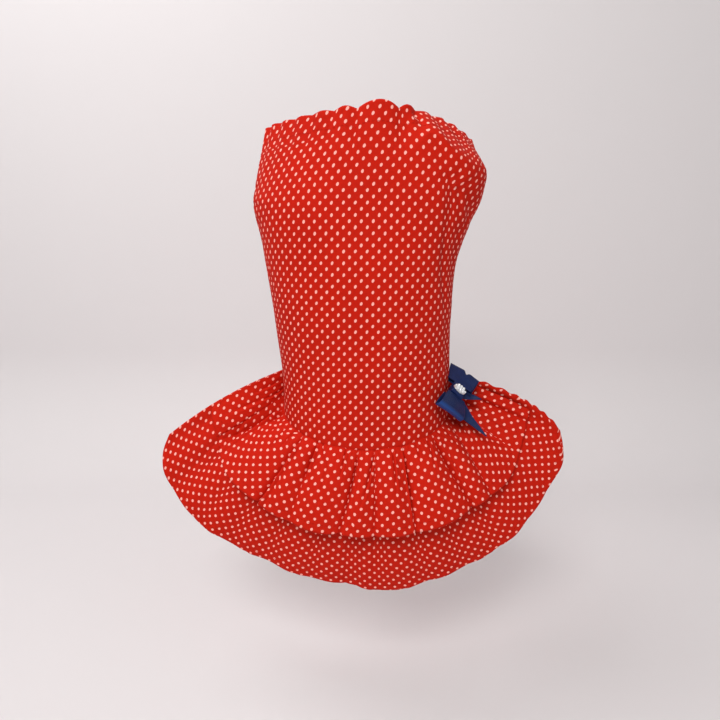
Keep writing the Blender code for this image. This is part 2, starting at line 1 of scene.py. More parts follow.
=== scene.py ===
"""A small dog's dress in printed cotton: bodice, two gathered skirt tiers and a ribbon bow with its stones.

Every piece is a surface worked out from the dress's own sizes, in the frame of the model that it dresses:
metres, +Z up, the middle of the back towards -Y, the origin in the middle of the neck opening. Tables are in
millimetres and degrees, where 0 degrees is the middle of the back and 90 the right flank.
"""

import bpy
import numpy as np
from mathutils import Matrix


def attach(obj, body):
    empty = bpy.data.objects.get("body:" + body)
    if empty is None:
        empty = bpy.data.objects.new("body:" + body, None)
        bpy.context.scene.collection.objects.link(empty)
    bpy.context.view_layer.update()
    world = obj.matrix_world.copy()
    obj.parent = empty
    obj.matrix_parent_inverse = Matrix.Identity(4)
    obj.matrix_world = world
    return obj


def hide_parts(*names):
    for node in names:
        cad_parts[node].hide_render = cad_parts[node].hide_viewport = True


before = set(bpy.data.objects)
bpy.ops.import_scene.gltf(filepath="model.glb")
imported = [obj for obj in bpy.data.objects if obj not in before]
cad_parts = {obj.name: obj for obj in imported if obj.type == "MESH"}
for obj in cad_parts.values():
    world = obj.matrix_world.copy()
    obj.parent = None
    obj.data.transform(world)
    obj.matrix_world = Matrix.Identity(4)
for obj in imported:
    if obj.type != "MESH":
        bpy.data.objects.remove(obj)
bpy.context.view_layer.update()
MM = 0.001

# The room: a pale floor that curves up into a pale wall behind the dress. A large soft light hangs to the
# upper left of the camera, a weaker one to its right, and a third one lights the wall, as daylight does.
FLOOR_HEIGHT, FLOOR_FRONT = -0.385, -1.6
WALL_PLACE = 0.46
ROOM_HALF_WIDTH = 1.6
ROOM_HEIGHT = 1.5
CORNER_RADIUS = 0.16
ROOM_COLOUR, ROOM_SHADE = (0.76, 0.728, 0.738, 1.0), 0.96
ROOM_ROUGHNESS, ROOM_PATCHES = 0.85, 1.4
CAMERA_PLACE = (-0.0041, -0.3794, -0.0800)
CAMERA_PITCH = 10.98
CAMERA_LENS, SENSOR_WIDTH, NEAREST_SEEN = 27.9, 36.0, 0.01
LIGHT_TARGET = (0.0, 0.0, -0.14)
AIR_COLOUR, AIR_STRENGTH = (1.0, 0.985, 0.97, 1.0), 0.30

scene = bpy.context.scene
scene.view_settings.view_transform = "Standard"


def grid_faces(rows, columns):
    """Quads of a grid whose rows go up and whose columns go to the right, as seen from outside."""
    index = np.arange(rows * columns).reshape(rows, columns)
    return np.stack([index[:-1, :-1], index[:-1, 1:], index[1:, 1:], index[1:, :-1]], axis=-1).reshape(-1, 4)


def put_in_scene(name, data):
    """A new object of the scene, from a mesh, a camera or a light."""
    thing = bpy.data.objects.new(name, data)
    scene.collection.objects.link(thing)
    return thing


def mesh_piece(name, points, faces, material, smooth=True, lengths=None):
    """A piece from points and faces. `lengths` are its lengths of cloth in millimetres, for its print."""
    mesh = bpy.data.meshes.new(name)
    mesh.from_pydata(points.reshape(-1, 3), [], faces)
    if smooth:
        mesh.shade_smooth()
    mesh.materials.append(material)
    if lengths is not None:
        layer = mesh.uv_layers.new(name="cloth")
        corner = np.empty(len(mesh.loops), dtype=np.int32)
        mesh.loops.foreach_get("vertex_index", corner)
        layer.data.foreach_set("uv", lengths.reshape(-1, 2)[corner].astype(np.float32).ravel())
    return put_in_scene(name, mesh)


def surface(name, points, material, lengths=None):
    """A smooth surface on a grid of points, with its lengths of cloth across and up."""
    return mesh_piece(name, points, grid_faces(*points.shape[:2]), material, lengths=lengths)


def fill(tree, node, inputs):
    """Fill a node's inputs: each takes a number, a tuple or another node's output."""
    for key, value in inputs.items():
        if isinstance(value, bpy.types.NodeSocket):
            tree.links.new(value, node.inputs[key])
        else:
            node.inputs[key].default_value = value


def node_output(tree, kind, inputs, output=0, **settings):
    """One output of a new node of a kind, with its settings and its inputs."""
    node = tree.nodes.new("ShaderNode" + kind)
    for key, value in settings.items():
        setattr(node, key, value)
    fill(tree, node, inputs)
    return node.outputs[output]


def noise(tree, vector, scale, detail=2.0, output="Fac"):
    """A noise between 0 and 1, as one value or as the three of a colour."""
    return node_output(tree, "TexNoise", {"Vector": vector, "Scale": scale, "Detail": detail}, output)


def mixed(tree, share, first, second):
    """Colour between two colours, by a share."""
    return node_output(tree, "Mix", {0: share, 6: first, 7: second}, 2, data_type="RGBA")


def new_material(name, roughness, gloss=0.5):
    """A new material, its node tree and its shader."""
    material = bpy.data.materials.new(name)
    material.use_nodes = True
    shader = material.node_tree.nodes["Principled BSDF"]
    fill(material.node_tree, shader, {"Roughness": roughness, "Specular IOR Level": gloss})
    return material, material.node_tree, shader


def plain_material(name, colour, second, patches, roughness, metallic=0.0, gloss=0.5, coat=0.0):
    """A plain material: its colour changes softly into a second one, by a noise of the scale `patches`.

    The second colour is a colour too, or the share of the first one's brightness that it has.
    """
    material, tree, shader = new_material(name, roughness, gloss)
    if isinstance(second, float):
        second = tuple(second * part for part in colour[:3]) + (1.0,)
    patchy = mixed(tree, noise(tree, node_output(tree, "TexCoord", {}, "Object"), patches), colour, second)
    fill(tree, shader, {"Metallic": metallic, "Coat Weight": coat, "Base Color": patchy})
    return material


def room_points():
    """The room's profile, carried from left to right: level floor, quarter circle, upright wall."""
    turn = np.radians(np.linspace(0.0, 90.0, 17))
    depth = np.concatenate(([FLOOR_FRONT], WALL_PLACE - CORNER_RADIUS * (1 - np.sin(turn)), [WALL_PLACE]))
    height = np.concatenate(([0.0], CORNER_RADIUS * (1 - np.cos(turn)), [ROOM_HEIGHT])) + FLOOR_HEIGHT
    across = np.linspace(-ROOM_HALF_WIDTH, ROOM_HALF_WIDTH, 9)
    x, y = np.meshgrid(across, depth)
    return np.stack([x, y, np.broadcast_to(height[:, None], x.shape)], axis=-1)


room_paint = plain_material("pale_paint", ROOM_COLOUR, ROOM_SHADE, ROOM_PATCHES, ROOM_ROUGHNESS)
surface("room", room_points(), room_paint)

camera = put_in_scene("camera", bpy.data.cameras.new("camera"))
camera.data.lens = CAMERA_LENS
camera.data.sensor_width = SENSOR_WIDTH
camera.data.clip_start = NEAREST_SEEN
camera.location = CAMERA_PLACE
camera.rotation_euler = (np.radians(90.0 - CAMERA_PITCH), 0.0, 0.0)
scene.camera = camera


def soft_light(name, place, target, size, power, colour):
    """A square area light that faces its target."""
    light = put_in_scene(name, bpy.data.lights.new(name, "AREA"))
    light.data.shape = "SQUARE"
    light.data.size = size
    light.data.energy = power
    light.data.color = colour
    x, y, z = np.subtract(target, place)
    light.location = place
    light.rotation_euler = (np.arctan2(np.hypot(x, y), -z), 0.0, np.arctan2(y, x) - np.pi / 2)


soft_light("window_light", (-0.22, -0.95, 0.66), LIGHT_TARGET, 0.50, 10.3, (1.0, 0.985, 0.965))
soft_light("side_light", (0.95, -0.70, 0.25), LIGHT_TARGET, 0.80, 1.4, (1.0, 0.985, 0.97))
soft_light("wall_light", (-0.55, 0.00, 0.95), (-0.35, 0.46, 0.20), 0.60, 6.2, (1.0, 0.995, 0.99))
world = bpy.data.worlds.new("room_air")
world.use_nodes = True
air = world.node_tree.nodes["Background"]
air.inputs["Color"].default_value = AIR_COLOUR
air.inputs["Strength"].default_value = AIR_STRENGTH
scene.world = world

# Back of the bodice: one panel of red poplin with white dots, cut to a rounded tail that the skirt is sewn
# to. Elastic in its turned-in neck edge gathers it into scallops, and its sides are sewn to the belly panel.
CLOTH = 0.55 * MM
CHEST_LINE = -36.0
SHOULDER_ROUND = 0.12
BELLY_SQUARE = 2.3
TAIL_LINE, TAIL_END, TAIL_ANGLE = -160.0, -200.0, 86.0
LEG_HOLE = (-58.5, -11.0)
NECK_FOLD_REACH = 17.0
GATHER_BULGE, GATHER_START, SCALLOP_ROUND = 1.0, 3.0, 0.6
SEAM_FLAT = 9.0
DEGREE_LENGTH = 1.05
SEAM_ROLL, SEAM_ROLL_WIDTH = 0.9, 1.1
TAIL_ROLL = 0.35
CASING_DEPTH, CASING_GAP = 11.0, 1.1
CREASE_START, CREASE_FULL, ROLL_PLACE = 0.18, 0.3, 1.8
# A row of puckers has a seed, a spacing, a depth and a reach. Each pucker varies within the shares below.
SIDE_PUCKERS = (5, 5.5, 0.35, 5.0)
TAIL_PUCKERS = (8, 5.0, 0.40, 4.5)
PUCKER_SPACINGS, PUCKER_HEIGHTS, PUCKER_REACHES = (0.55, 1.45), (0.4, 1.0), (0.5, 1.5)
PUCKER_START, PUCKER_LEAST, SPARE_PUCKERS = 2.5, 0.35, 12
BACK_LOWEST, BACK_STEP, BACK_NECK_STEP, BACK_COLUMNS = -201.0, 1.25, 0.6, 212
COARSE_END, FINE_START, FINE_END = -46.0, -45.6, -0.2
LEVEL_HEIGHT = -100.0
SHELF_HELD, SHELF_FADE = (19.0, 84.0), (66.0, 16.0)
SHELF_BLEND, SHELF_LEAST = 1.5, -0.5
FOLD_TAKE, FOLD_WIDTH = 4.5, 8.0
FOLD_START, FOLD_END = (34.0, 12.0), (84.0, 36.0)
NOTCH_REACH = 8.0

BODY = np.array([
    # height, left, right, back, belly, left_square, right_square
    (-200, 56.5, 56.5, 52, 46, 2.3, 2.3),
    (-162, 56.6, 56.6, 52.5, 47, 2.3, 2.3),
    (-135, 59.6, 56.2, 54, 48.5, 2.3, 2.3),
    (-111, 62.4, 56.8, 55.5, 50, 2.3, 2.4),
    (-98, 64.3, 57.2, 56.3, 51, 2.3, 2.4),
    (-85, 66.2, 58.8, 57, 51.8, 2.3, 2.5),
    (-73, 68, 62.4, 57.6, 52.5, 2.3, 2.6),
    (-60, 71.2, 67.4, 58, 53, 2.3, 2.7),
    (-50, 75.2, 71.8, 58, 53, 2.3, 2.8),
    (-36, 76.2, 75.2, 58, 53, 2.3, 2.8),
])
NECK = np.array([
    # angle, across, forward, height
    (-180, 3, -47, -7), (-150, -29, -42, -6.5), (-120, -54, -26, -4.5), (-92, -63, -1, -4.6),
    (-78, -62.6, 9, -5.2), (-60, -54.5, 23, -5), (-45, -42.5, 36.5, -5.2), (-30, -27.5, 48, -4.8),
    (-15, -12, 55.5, -4.6), (2, 6, 58, -5.2), (15, 18.5, 54.5, -4), (25, 27.5, 42, -1.8),
    (38, 41, 25, -1.2), (55, 54.5, 9, -3), (75, 67.5, -12, -6), (90, 71.5, -22, -7), (120, 60, -38, -7),
    (150, 33, -46, -7.5), (180, 3, -47, -7),
])
CHEST = np.array([
    # angle, height
    (-180, -36), (10, -36), (20, -24), (25, -16), (30, -18), (36, -25), (45, -31), (60, -32), (90, -36),
    (180, -36),
])
SIDES = np.array([
    # height, back_left, belly_left, back_right, belly_right
    (-200, -86, -86, 86, 86), (-162, -87, -87, 87, 87), (-120, -85, -85, 91, 91),
    (-90, -81, -81, 94, 94), (-70, -76, -76, 93, 93), (-58.5, -74, -76, 92, 94),
    (-55, -73.5, -92, 91, 109), (-47, -73, -106, 90, 123), (-36, -74, -110, 90, 127),
    (-24, -77, -107, 93, 124), (-17, -83, -101, 99, 118), (-14, -91, -93, 106, 110),
    (-11, -92, -92, 108, 108), (0, -92, -92, 108, 108),
])
TAIL = np.array([
    # angle, height
    (0, -200), (30, -196.6), (45, -193), (60, -190), (76, -186), (82, -182), (87, -175),
])
BACK_GATHERS = np.array([
    # start_angle, rise of the scallop
    (-92, 0.1), (-80, 0.1), (-68, 0.2), (-56, 0.2), (-45, 0.3), (-34, 0.8), (-21.5, 1.8), (-9, 5),
    (14, 2.4), (25, 0.5), (36, 0.3), (48, 0.3), (60, 0.3), (74, 0.3), (90, 0.6), (108, 0),
])
SHELF = np.array([
    # angle, height: lower border of the cloth that the right shoulder holds out
    (-92, 0), (18, 0), (21.6, -4), (23.6, -6.4), (24.8, -11), (27.6, -19.6), (30, -24.8), (33.6, -30.8),
    (37.2, -31.6), (42, -31.2), (49.2, -30), (60, -28.8), (75, -28), (110, -27),
])
BELLY_GATHER_COUNT = 12
BELLY_GATHER_RISE = 1.3
SHOULDER_SEAMS = (-92.0, 108.0, 268.0)
FOLD_LINE = np.array([
    # angle, length below the neck line, of the fold under the right shoulder
    (32.4, 38), (36.4, 48.4), (42, 59.2), (48.4, 73.2), (55.6, 88), (60.8, 109.6),
])
TROUGHS = np.array([
    # upper_angle, upper_height, lower_angle, lower_height, depth, half_width
    (35, -36, 57, -118, 1.7, 4.2),
    (44, -44, 70, -64, 1.6, 9),
    (150, -50, 135, -120, 1.6, 6),
    (215, -60, 222, -135, 1.4, 6),
])
WRINKLES = np.array([
    # x and y of the start, x and y of the end, depth, width, roll, share kept: x round the body, y downwards
    # neck gathers over the back
    (-26.5, 2, -33, 30, 0.9, 1.5, 0.4, 0), (-22.5, 1, -27, 24, 0.7, 1.2, 0.4, 0),
    (-32, 2, -41, 34, 0.7, 1.6, 0.3, 0), (-40.5, 1.5, -48, 27, 0.7, 1.4, 0.4, 0),
    (-51.5, 1.5, -57, 24, 0.6, 1.3, 0.3, 0), (-63, 1, -66, 22, 0.6, 1.4, 0.3, 0),
    (-16.5, 0.5, -19, 20, 0.8, 1.3, 0.5, 0), (-9.2, 0, -10, 30, 1, 1.4, 0.5, 0),
    (-2, 1, -2.5, 16, 0.4, 1.6, 0.3, 0), (6, 0.5, 6, 18, 0.4, 1.6, 0.3, 0),
    (14.5, 0, 14, 32, 0.9, 1.5, -0.4, 0), (19.5, 0.5, 17.5, 30, 0.7, 1.3, 0.4, 0),
    (24.5, 0, 27, 17, 1.2, 1.2, 0.5, 0), (31, 0.5, 33, 14, 0.5, 1.3, 0.4, 0),
    (40, 0.5, 43, 17, 0.5, 1.4, 0.4, 0), (53, 0.5, 55, 18, 0.5, 1.5, 0.4, 0),
    (70, 0.5, 68, 22, 0.6, 1.5, 0.4, 0),
    # drag lines from both leg holes and the bow, and down the flanks
    (-80, 49, -52, 53, 0.7, 1.8, 0.4, 0), (-79, 58, -57, 68, 0.6, 2, 0.4, 0),
    (-79, 40, -60, 33, 0.5, 1.8, 0.3, 0), (-72, 82, -63, 128, 0.7, 2.6, 0.4, 0),
    (-50, 122, -40, 172, 0.6, 2.4, 0.3, 0.2), (66, 52, 54, 76, 0.8, 2.2, 0.5, 0),
    (92, 58, 72, 78, 0.7, 2.2, 0.4, 0), (64, 26, 50, 40, 0.6, 2, 0.4, 0),
    (74, 172, 44, 150, 0.8, 2.4, 0.4, 0), (70, 166, 58, 128, 0.6, 2.4, 0.4, 0),
    (82, 100, 78, 148, 0.7, 2.8, 0.4, 0),
    # edge of the shelf over the right shoulder, the fold below it and the hollow beside the fold
    (22.5, 2, 26.5, 15, 1, 1.3, -0.5, 0.6), (26.2, 12, 36, 32, 1.1, 1.3, -0.5, 0.3),
    (35, 32, 50.8, 76, 1.5, 2.4, -0.8, 0), (49, 62, 64, 112, 1, 2.6, -0.6, 0),
    (44, 38, 66, 68, 2, 5, 0, 0.1), (18, 150, 26, 192, 0.4, 3, 0.3, 0.2),
    (-12, 158, -16, 196, 0.4, 3, 0.3, 0.2),
    # belly: from the neck edge, between the leg holes and above the hem
    (132, 2, 138, 40, 0.8, 1.8, 0.4, 0), (158, 2, 160, 34, 0.7, 1.6, 0.4, 0),
    (183, 2, 186, 48, 0.9, 1.8, 0.4, 0), (208, 2, 204, 36, 0.7, 1.6, 0.4, 0),
    (236, 2, 228, 42, 0.8, 1.8, 0.4, 0), (262, 2, 250, 32, 0.6, 1.6, 0.4, 0),
    (130, 52, 166, 66, 0.9, 2.4, 0.5, 0), (262, 50, 226, 70, 0.9, 2.4, 0.5, 0),
    (126, 66, 150, 92, 0.7, 2.4, 0.4, 0), (266, 66, 244, 96, 0.7, 2.4, 0.4, 0),
    (112, 112, 122, 158, 0.7, 2.6, 0.4, 0.2), (164, 118, 158, 160, 0.6, 2.6, 0.4, 0.2),
    (212, 112, 220, 160, 0.7, 2.6, 0.4, 0.2), (270, 104, 262, 156, 0.7, 2.6, 0.4, 0.2),
])


def interval(knots, at):
    """The two knots that a place lies between, by the first one's index, and how far along there, 0 to 1."""
    i = np.clip(np.searchsorted(knots, at, side="right") - 1, 0, len(knots) - 2)
    return i, np.clip((at - knots[i]) / (knots[i + 1] - knots[i]), 0.0, 1.0)


def smooth_curve(knots, values, at):
    """Cubic curve through (knots, values): between two knots a Hermite cubic with the neighbours' slopes."""
    slopes = np.gradient(values, knots)
    i, t = interval(knots, at)
    step = knots[i + 1] - knots[i]
    start = (1 + 2 * t) * (1 - t) ** 2 * values[i] + t * (1 - t) ** 2 * step * slopes[i]
    end = t * t * (3 - 2 * t) * values[i + 1] + t * t * (t - 1) * step * slopes[i + 1]
    return start + end


def curve_of(table, at, column=1):
    """The smooth curve of one column of a table over its first column."""
    return smooth_curve(table[:, 0], table[:, column], at)


def unit(vectors):
    """The vectors at length 1."""
    return vectors / np.linalg.norm(vectors, axis=-1, keepdims=True)


def surface_normals(points):
    """Unit normals of a grid: the way to the right crossed with the way up, so they point outwards."""
    return unit(np.cross(np.gradient(points, axis=1), np.gradient(points, axis=0)))


def ease(t):
    """Smooth step: 0 up to t = 0, 1 from t = 1, and a cubic between them."""
    t = np.clip(t, 0.0, 1.0)
    return t * t * (3 - 2 * t)


def gathers():
    """Start angles and scallop rises of every neck gather, once round from the left shoulder."""
    belly = np.linspace(*SHOULDER_SEAMS[1:], BELLY_GATHER_COUNT + 1)
    start = np.concatenate((BACK_GATHERS[:-1, 0], belly))
    rise = np.concatenate((BACK_GATHERS[:-1, 1], np.full(BELLY_GATHER_COUNT, BELLY_GATHER_RISE), [0.0]))
    return start, rise


def girth(angle, height):
    """Place on the body's section at a height: a rounded box, whose quarters have their own width and depth.

    It is where the powers of the shares across and forward add up to 1. A higher power is squarer.
    """
    turn = np.radians(angle)
    across, forward = np.sin(turn), np.cos(turn)
    left, right, back, belly, left_square, right_square = (curve_of(BODY, height, k) for k in range(1, 7))
    wide = np.where(across < 0, left, right)
    deep = np.where(forward < 0, belly, back)
    power = np.where(forward < 0, BELLY_SQUARE, np.where(across < 0, left_square, right_square))
    reach = (np.abs(across) ** power + np.abs(forward) ** power) ** (-1.0 / power)
    return wide * across * reach, deep * forward * reach


def trough_depth(angle, height):
    """How far the troughs press the bodice in: deepest midway along each line, and fading to its edges."""
    depth = np.zeros(angle.shape)
    for upper_angle, upper_height, lower_angle, lower_height, deepest, half_width in TROUGHS:
        down = np.clip((upper_height - height) / (upper_height - lower_height), 0.0, 1.0)
        aside = (angle - upper_angle - (lower_angle - upper_angle) * down) * DEGREE_LENGTH / half_width
        depth += deepest * np.sin(np.pi * down) ** 0.8 * np.exp(-aside ** 2)
    return depth


def creases(x, y, table):
    """Height in millimetres of creases: each is sharp along its line, with a soft roll of cloth beside it.

    A crease fades in from its start and keeps a share of its depth at its end. A negative width puts the
    roll on the other side, and a negative roll is a hollow.
    """
    height = np.zeros(np.broadcast(x, y).shape)
    for x0, y0, x1, y1, depth, width, roll, kept in table:
        run = np.hypot(x1 - x0, y1 - y0)
        along = ((x - x0) * (x1 - x0) + (y - y0) * (y1 - y0)) / run ** 2
        aside = ((x - x0) * (y1 - y0) - (y - y0) * (x1 - x0)) / run / width
        fading = ease((along - CREASE_FULL) / (1 - CREASE_FULL))
        strength = ease(along / CREASE_START) * (1 - (1 - kept) * fading)
        height += depth * strength * (roll * np.exp(-(aside - ROLL_PLACE) ** 2) - np.exp(-np.abs(aside)))
    return height


def puckers(x, y, seed, spacing, depth, reach):
    """Small gathers below a seam: round ridges of uneven spacing, height and reach, notched between them."""
    draw = np.random.default_rng(seed)
    count = int(np.ptp(x) / spacing) + SPARE_PUCKERS
    edges = np.min(x) + np.cumsum(spacing * draw.uniform(*PUCKER_SPACINGS, count))
    heights, reaches = draw.uniform(*PUCKER_HEIGHTS, count), draw.uniform(*PUCKER_REACHES, count)
    i, t = interval(edges, x)
    arc = np.sqrt(np.sin(np.pi * t)) - 0.5
    fade = np.exp(-y / (reach * reaches[i + 1])) * ease(y / PUCKER_START + PUCKER_LEAST)
    return depth * heights[i + 1] * arc * fade


def body(angle, height):
    """The bodice's surface in metres: sections up to the chest, then a soft turn to the gathered neck."""
    across, forward = girth(angle, np.minimum(height, CHEST_LINE))
    round_angle = np.mod(angle + 180.0, 360.0) - 180.0
    chest = curve_of(CHEST, round_angle)
    up = np.clip((height - chest) / -chest, 0.0, 1.0)
    inward = up ** 2 * (1.0 + SHOULDER_ROUND) / (up + SHOULDER_ROUND)
    neck_x, neck_y, neck_z = (curve_of(NECK, round_angle, k) for k in (1, 2, 3))
    start, rise = gathers()
    around = np.mod(angle - SHOULDER_SEAMS[0], 360.0) + SHOULDER_SEAMS[0]
    i, t = interval(start, around)
    arc = np.sin(np.pi * t)
    fade = np.exp(np.minimum(height, 0.0) / NECK_FOLD_REACH) * np.clip(up * GATHER_START, 0.0, 1.0)
    seam = np.min([np.abs(around - place) for place in SHOULDER_SEAMS], axis=0)
    off_seam = np.clip(seam / SEAM_FLAT, 0.0, 1.0)
    bulge = GATHER_BULGE * (2.0 * arc ** 2 - 1.0) * fade * off_seam - trough_depth(around, height)
    turn = np.radians(angle)
    x = across + (neck_x - across) * inward + bulge * np.sin(turn)
    y = forward + (neck_y - forward) * inward + bulge * np.cos(turn)
    z = np.minimum(height, chest) + (neck_z - chest + rise[i] * arc ** SCALLOP_ROUND) * up
    return np.stack([x, -y, z], axis=-1) * MM


def side_angle(column, height):
    """Angle of one panel's side edge at a height."""
    return np.interp(height, SIDES[:, 0], SIDES[:, column])


def sewn(height):
    """1 where the two panels are sewn together at the sides, 0 along a leg hole."""
    return np.where((height < LEG_HOLE[0]) | (height > LEG_HOLE[1]), 1.0, 0.0)


def panel_points(angle, height, left, right, lower=None):
    """The bodice at a grid of places, with its sewn sides rolled in to the seam, and its lower edge too."""
    points = body(angle, height)
    aside = np.minimum(angle - left, right - angle) * DEGREE_LENGTH
    raised = creases(angle * DEGREE_LENGTH, -height, WRINKLES)
    raised -= SEAM_ROLL * np.exp(-(aside / SEAM_ROLL_WIDTH) ** 2) * sewn(height)
    raised += puckers(-height, aside, *SIDE_PUCKERS) * sewn(height)
    if lower is not None:
        raised -= TAIL_ROLL * np.exp(-(lower / SEAM_ROLL_WIDTH) ** 2)
        raised += puckers(angle * DEGREE_LENGTH, lower, *TAIL_PUCKERS)
    return points + surface_normals(points) * (raised * MM)[..., None]


def turned_in(points, rows, gap, at_hem=False):
    """The grid with its last rows repeated behind it, as cloth turned in over its upper edge or its hem."""
    normals = surface_normals(points)
    if at_hem:
        points, normals = points[::-1], normals[::-1]
    crest = points[-1:] + unit(points[-1:] - points[-2:-1]) * gap * 0.5 - normals[-1:] * gap * 0.5
    behind = points[-2:-2 - rows:-1] - normals[-2:-2 - rows:-1] * gap
    turned = np.concatenate((points, crest, behind))
    return turned[::-1] if at_hem else turned


def row_lengths(points, flat=True):
    """Length along each row in millimetres: the way round only where `flat`, else square to the columns."""
    steps = np.diff(points, axis=1) / MM
    if flat:
        widths = np.linalg.norm(steps[..., :2], axis=-1)
    else:
        up = unit(np.gradient(points, axis=0))
        widths = np.linalg.norm(np.cross(steps, unit(up[:, 1:] + up[:, :-1])), axis=-1)
    return np.pad(np.cumsum(widths, axis=1), ((0, 0), (1, 0)))


def column_lengths(points, level):
    """Length up each column in millimetres, 0 in the level row."""
    up = np.pad(np.cumsum(np.linalg.norm(np.diff(points, axis=0) / MM, axis=-1), axis=0), ((1, 0), (0, 0)))
    return up - up[level]


def gathered_lengths(along, place, ridges, troughs, reference, width, least):
    """Length of cloth along each row: true on every fold's face, with the rest hidden in the creases.

    Each fold keeps the cloth that it has on the reference row, and the difference is taken up within `width`
    of the trough beside it, where the cloth is folded away. No trough takes in less than the least length.
    """
    held = np.interp(ridges[reference], place[reference], along[reference])
    rows = []
    for row_along, row_place, row_ridges, row_troughs in zip(along, place, ridges, troughs):
        ridge_at = np.interp(row_ridges, row_place, row_along)
        trough_at = np.interp(row_troughs, row_place, row_along)
        step = ease((row_along[:, None] - trough_at) / width + 0.5)
        taken = np.maximum(np.diff(held - ridge_at), least)
        rows.append(row_along + held[0] - ridge_at[0] + step @ taken)
    return np.stack(rows)


# So far below nothing, a least length is no limit: a trough may also let cloth out.
NO_LEAST = -100.0
COTTON_ROUGHNESS, COTTON_GLOSS = 0.80, 0.10
DOT_PITCH, DOT_SOFTNESS = 6.7, 0.13
BODICE_DOT, BODICE_LEAN = (0.74, 1.06), 20.0
WOBBLE_SCALE, WOBBLE = 0.35, 0.5
DYE_SCALE, DYE_DETAIL = 26.0, 4.0
THREAD_PITCH, WEAVE_DEPTH, WEAVE_STRENGTH = 0.42, 0.00005, 0.35
CRUMPLE_SCALE, CRUMPLE_DETAIL, CRUMPLE_DEPTH, CRUMPLE_STRENGTH = 85.0, 3.0, 0.0011, 0.5
RED = (0.600, 0.0140, 0.0036, 1.0)
DEEP_RED = (0.490, 0.0098, 0.0026, 1.0)
DOT_WHITE = (1.000, 0.460, 0.390, 1.0)
PALE_RED = (0.640, 0.050, 0.038, 1.0)
PALE_DOT = (0.760, 0.300, 0.250, 1.0)


def math_node(tree, operation, *values):
    """The result of a sum on numbers and other nodes' outputs."""
    return node_output(tree, "Math", dict(enumerate(values)), operation=operation)


def vector_node(tree, operation, *values, output="Vector"):
    """The result of a sum on vectors."""
    return node_output(tree, "VectorMath", dict(enumerate(values)), output, operation=operation)


def scaled(tree, vector, scale):
    """The vector at a scale."""
    return node_output(tree, "VectorMath", {0: vector, "Scale": scale}, operation="SCALE")


def bump(tree, height, distance, strength, **before):
    """Bump of a height, on top of the bump before it, which is given as its Normal."""
    inputs = {"Height": height, "Distance": distance, "Strength": strength, **before}
    return node_output(tree, "Bump", inputs)


def cloth_place(tree):
    """The cloth's own lengths at a point, from the piece's map."""
    return node_output(tree, "UVMap", {}, uv_map="cloth")


def part_of(tree, vector, k):
    """One part of a vector: the first, which runs across the cloth, is 0."""
    return node_output(tree, "SeparateXYZ", {0: vector}, k)


def printed_cotton(name, ground, deep, dot, size, lean):
    """Plain-woven cotton with a print: dots in a square lattice with one more in the middle of each square.

    A dot is an oval: `size` is its half width and half length in millimetres, `lean` its lean in degrees.
    """
    material, tree, shader = new_material(name, COTTON_ROUGHNESS, COTTON_GLOSS)
    cloth = cloth_place(tree)
    place = node_output(tree, "TexCoord", {}, "Object")
    aside = vector_node(tree, "SUBTRACT", noise(tree, cloth, WOBBLE_SCALE, output="Color"), (0.5, 0.5, 0.5))
    drawn = vector_node(tree, "ADD", cloth, scaled(tree, aside, WOBBLE))
    cell = vector_node(tree, "MULTIPLY", drawn, (1 / DOT_PITCH, 1 / DOT_PITCH, 0.0))
    turn, oval = (0.0, 0.0, -np.radians(lean)), (size[0] / DOT_PITCH, size[1] / DOT_PITCH, 1.0)
    distances = []
    for shift in (0.0, 0.5):
        corner = vector_node(tree, "FRACTION", vector_node(tree, "ADD", cell, (shift, shift, 0.0)))
        centred = vector_node(tree, "SUBTRACT", corner, (0.5, 0.5, 0.0))
        inputs = {"Vector": centred, "Rotation": turn, "Scale": oval}
        in_oval = node_output(tree, "Mapping", inputs, vector_type="TEXTURE")
        distances.append(vector_node(tree, "LENGTH", in_oval, output="Value"))
    nearest = math_node(tree, "MINIMUM", *distances)
    inputs = {"Value": nearest, "From Min": 1.0 + DOT_SOFTNESS, "From Max": 1.0 - DOT_SOFTNESS}
    inked = node_output(tree, "MapRange", inputs, "Result", interpolation_type="SMOOTHSTEP")
    dyed = mixed(tree, noise(tree, place, DYE_SCALE, DYE_DETAIL), ground, deep)
    threads = scaled(tree, cloth, 2 * np.pi / THREAD_PITCH)
    warp, weft = (math_node(tree, "SINE", part_of(tree, threads, k)) for k in (0, 1))
    crumple = bump(tree, noise(tree, place, CRUMPLE_SCALE, CRUMPLE_DETAIL), CRUMPLE_DEPTH, CRUMPLE_STRENGTH)
    woven = bump(tree, math_node(tree, "MULTIPLY", warp, weft), WEAVE_DEPTH, WEAVE_STRENGTH, Normal=crumple)
    fill(tree, shader, {"Base Color": mixed(tree, inked, dyed, dot), "Normal": woven})
    return material


cotton, cotton_reverse = (
    printed_cotton(name, *colours, BODICE_DOT, BODICE_LEAN)
    for name, colours in (("red_dotted_cotton", (RED, DEEP_RED, DOT_WHITE)),
                          ("red_dotted_cotton_reverse", (PALE_RED, PALE_RED, PALE_DOT)))
)


def on_dress(piece, nodes=()):
    """The piece as a part of the dress, in the place of the solids that it stands for."""
    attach(piece, "root")
    if nodes:
        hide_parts(*nodes)
    return piece


def cloth_piece(name, points, lengths, nodes, finish=(cotton, cotton_reverse), thickness=CLOTH,
                slot="cotton"):
    """A shell of cloth on a grid, printed outside and paler inside, that stands for its solids."""
    piece = surface(name, points, finish[0], lengths)
    piece.data.materials.append(finish[1])
    wall = piece.modifiers.new("wall", "SOLIDIFY")
    wall.thickness = thickness
    wall.offset = 0.0
    wall.use_even_offset = False
    wall.material_offset = 1
    return on_dress(piece, nodes)


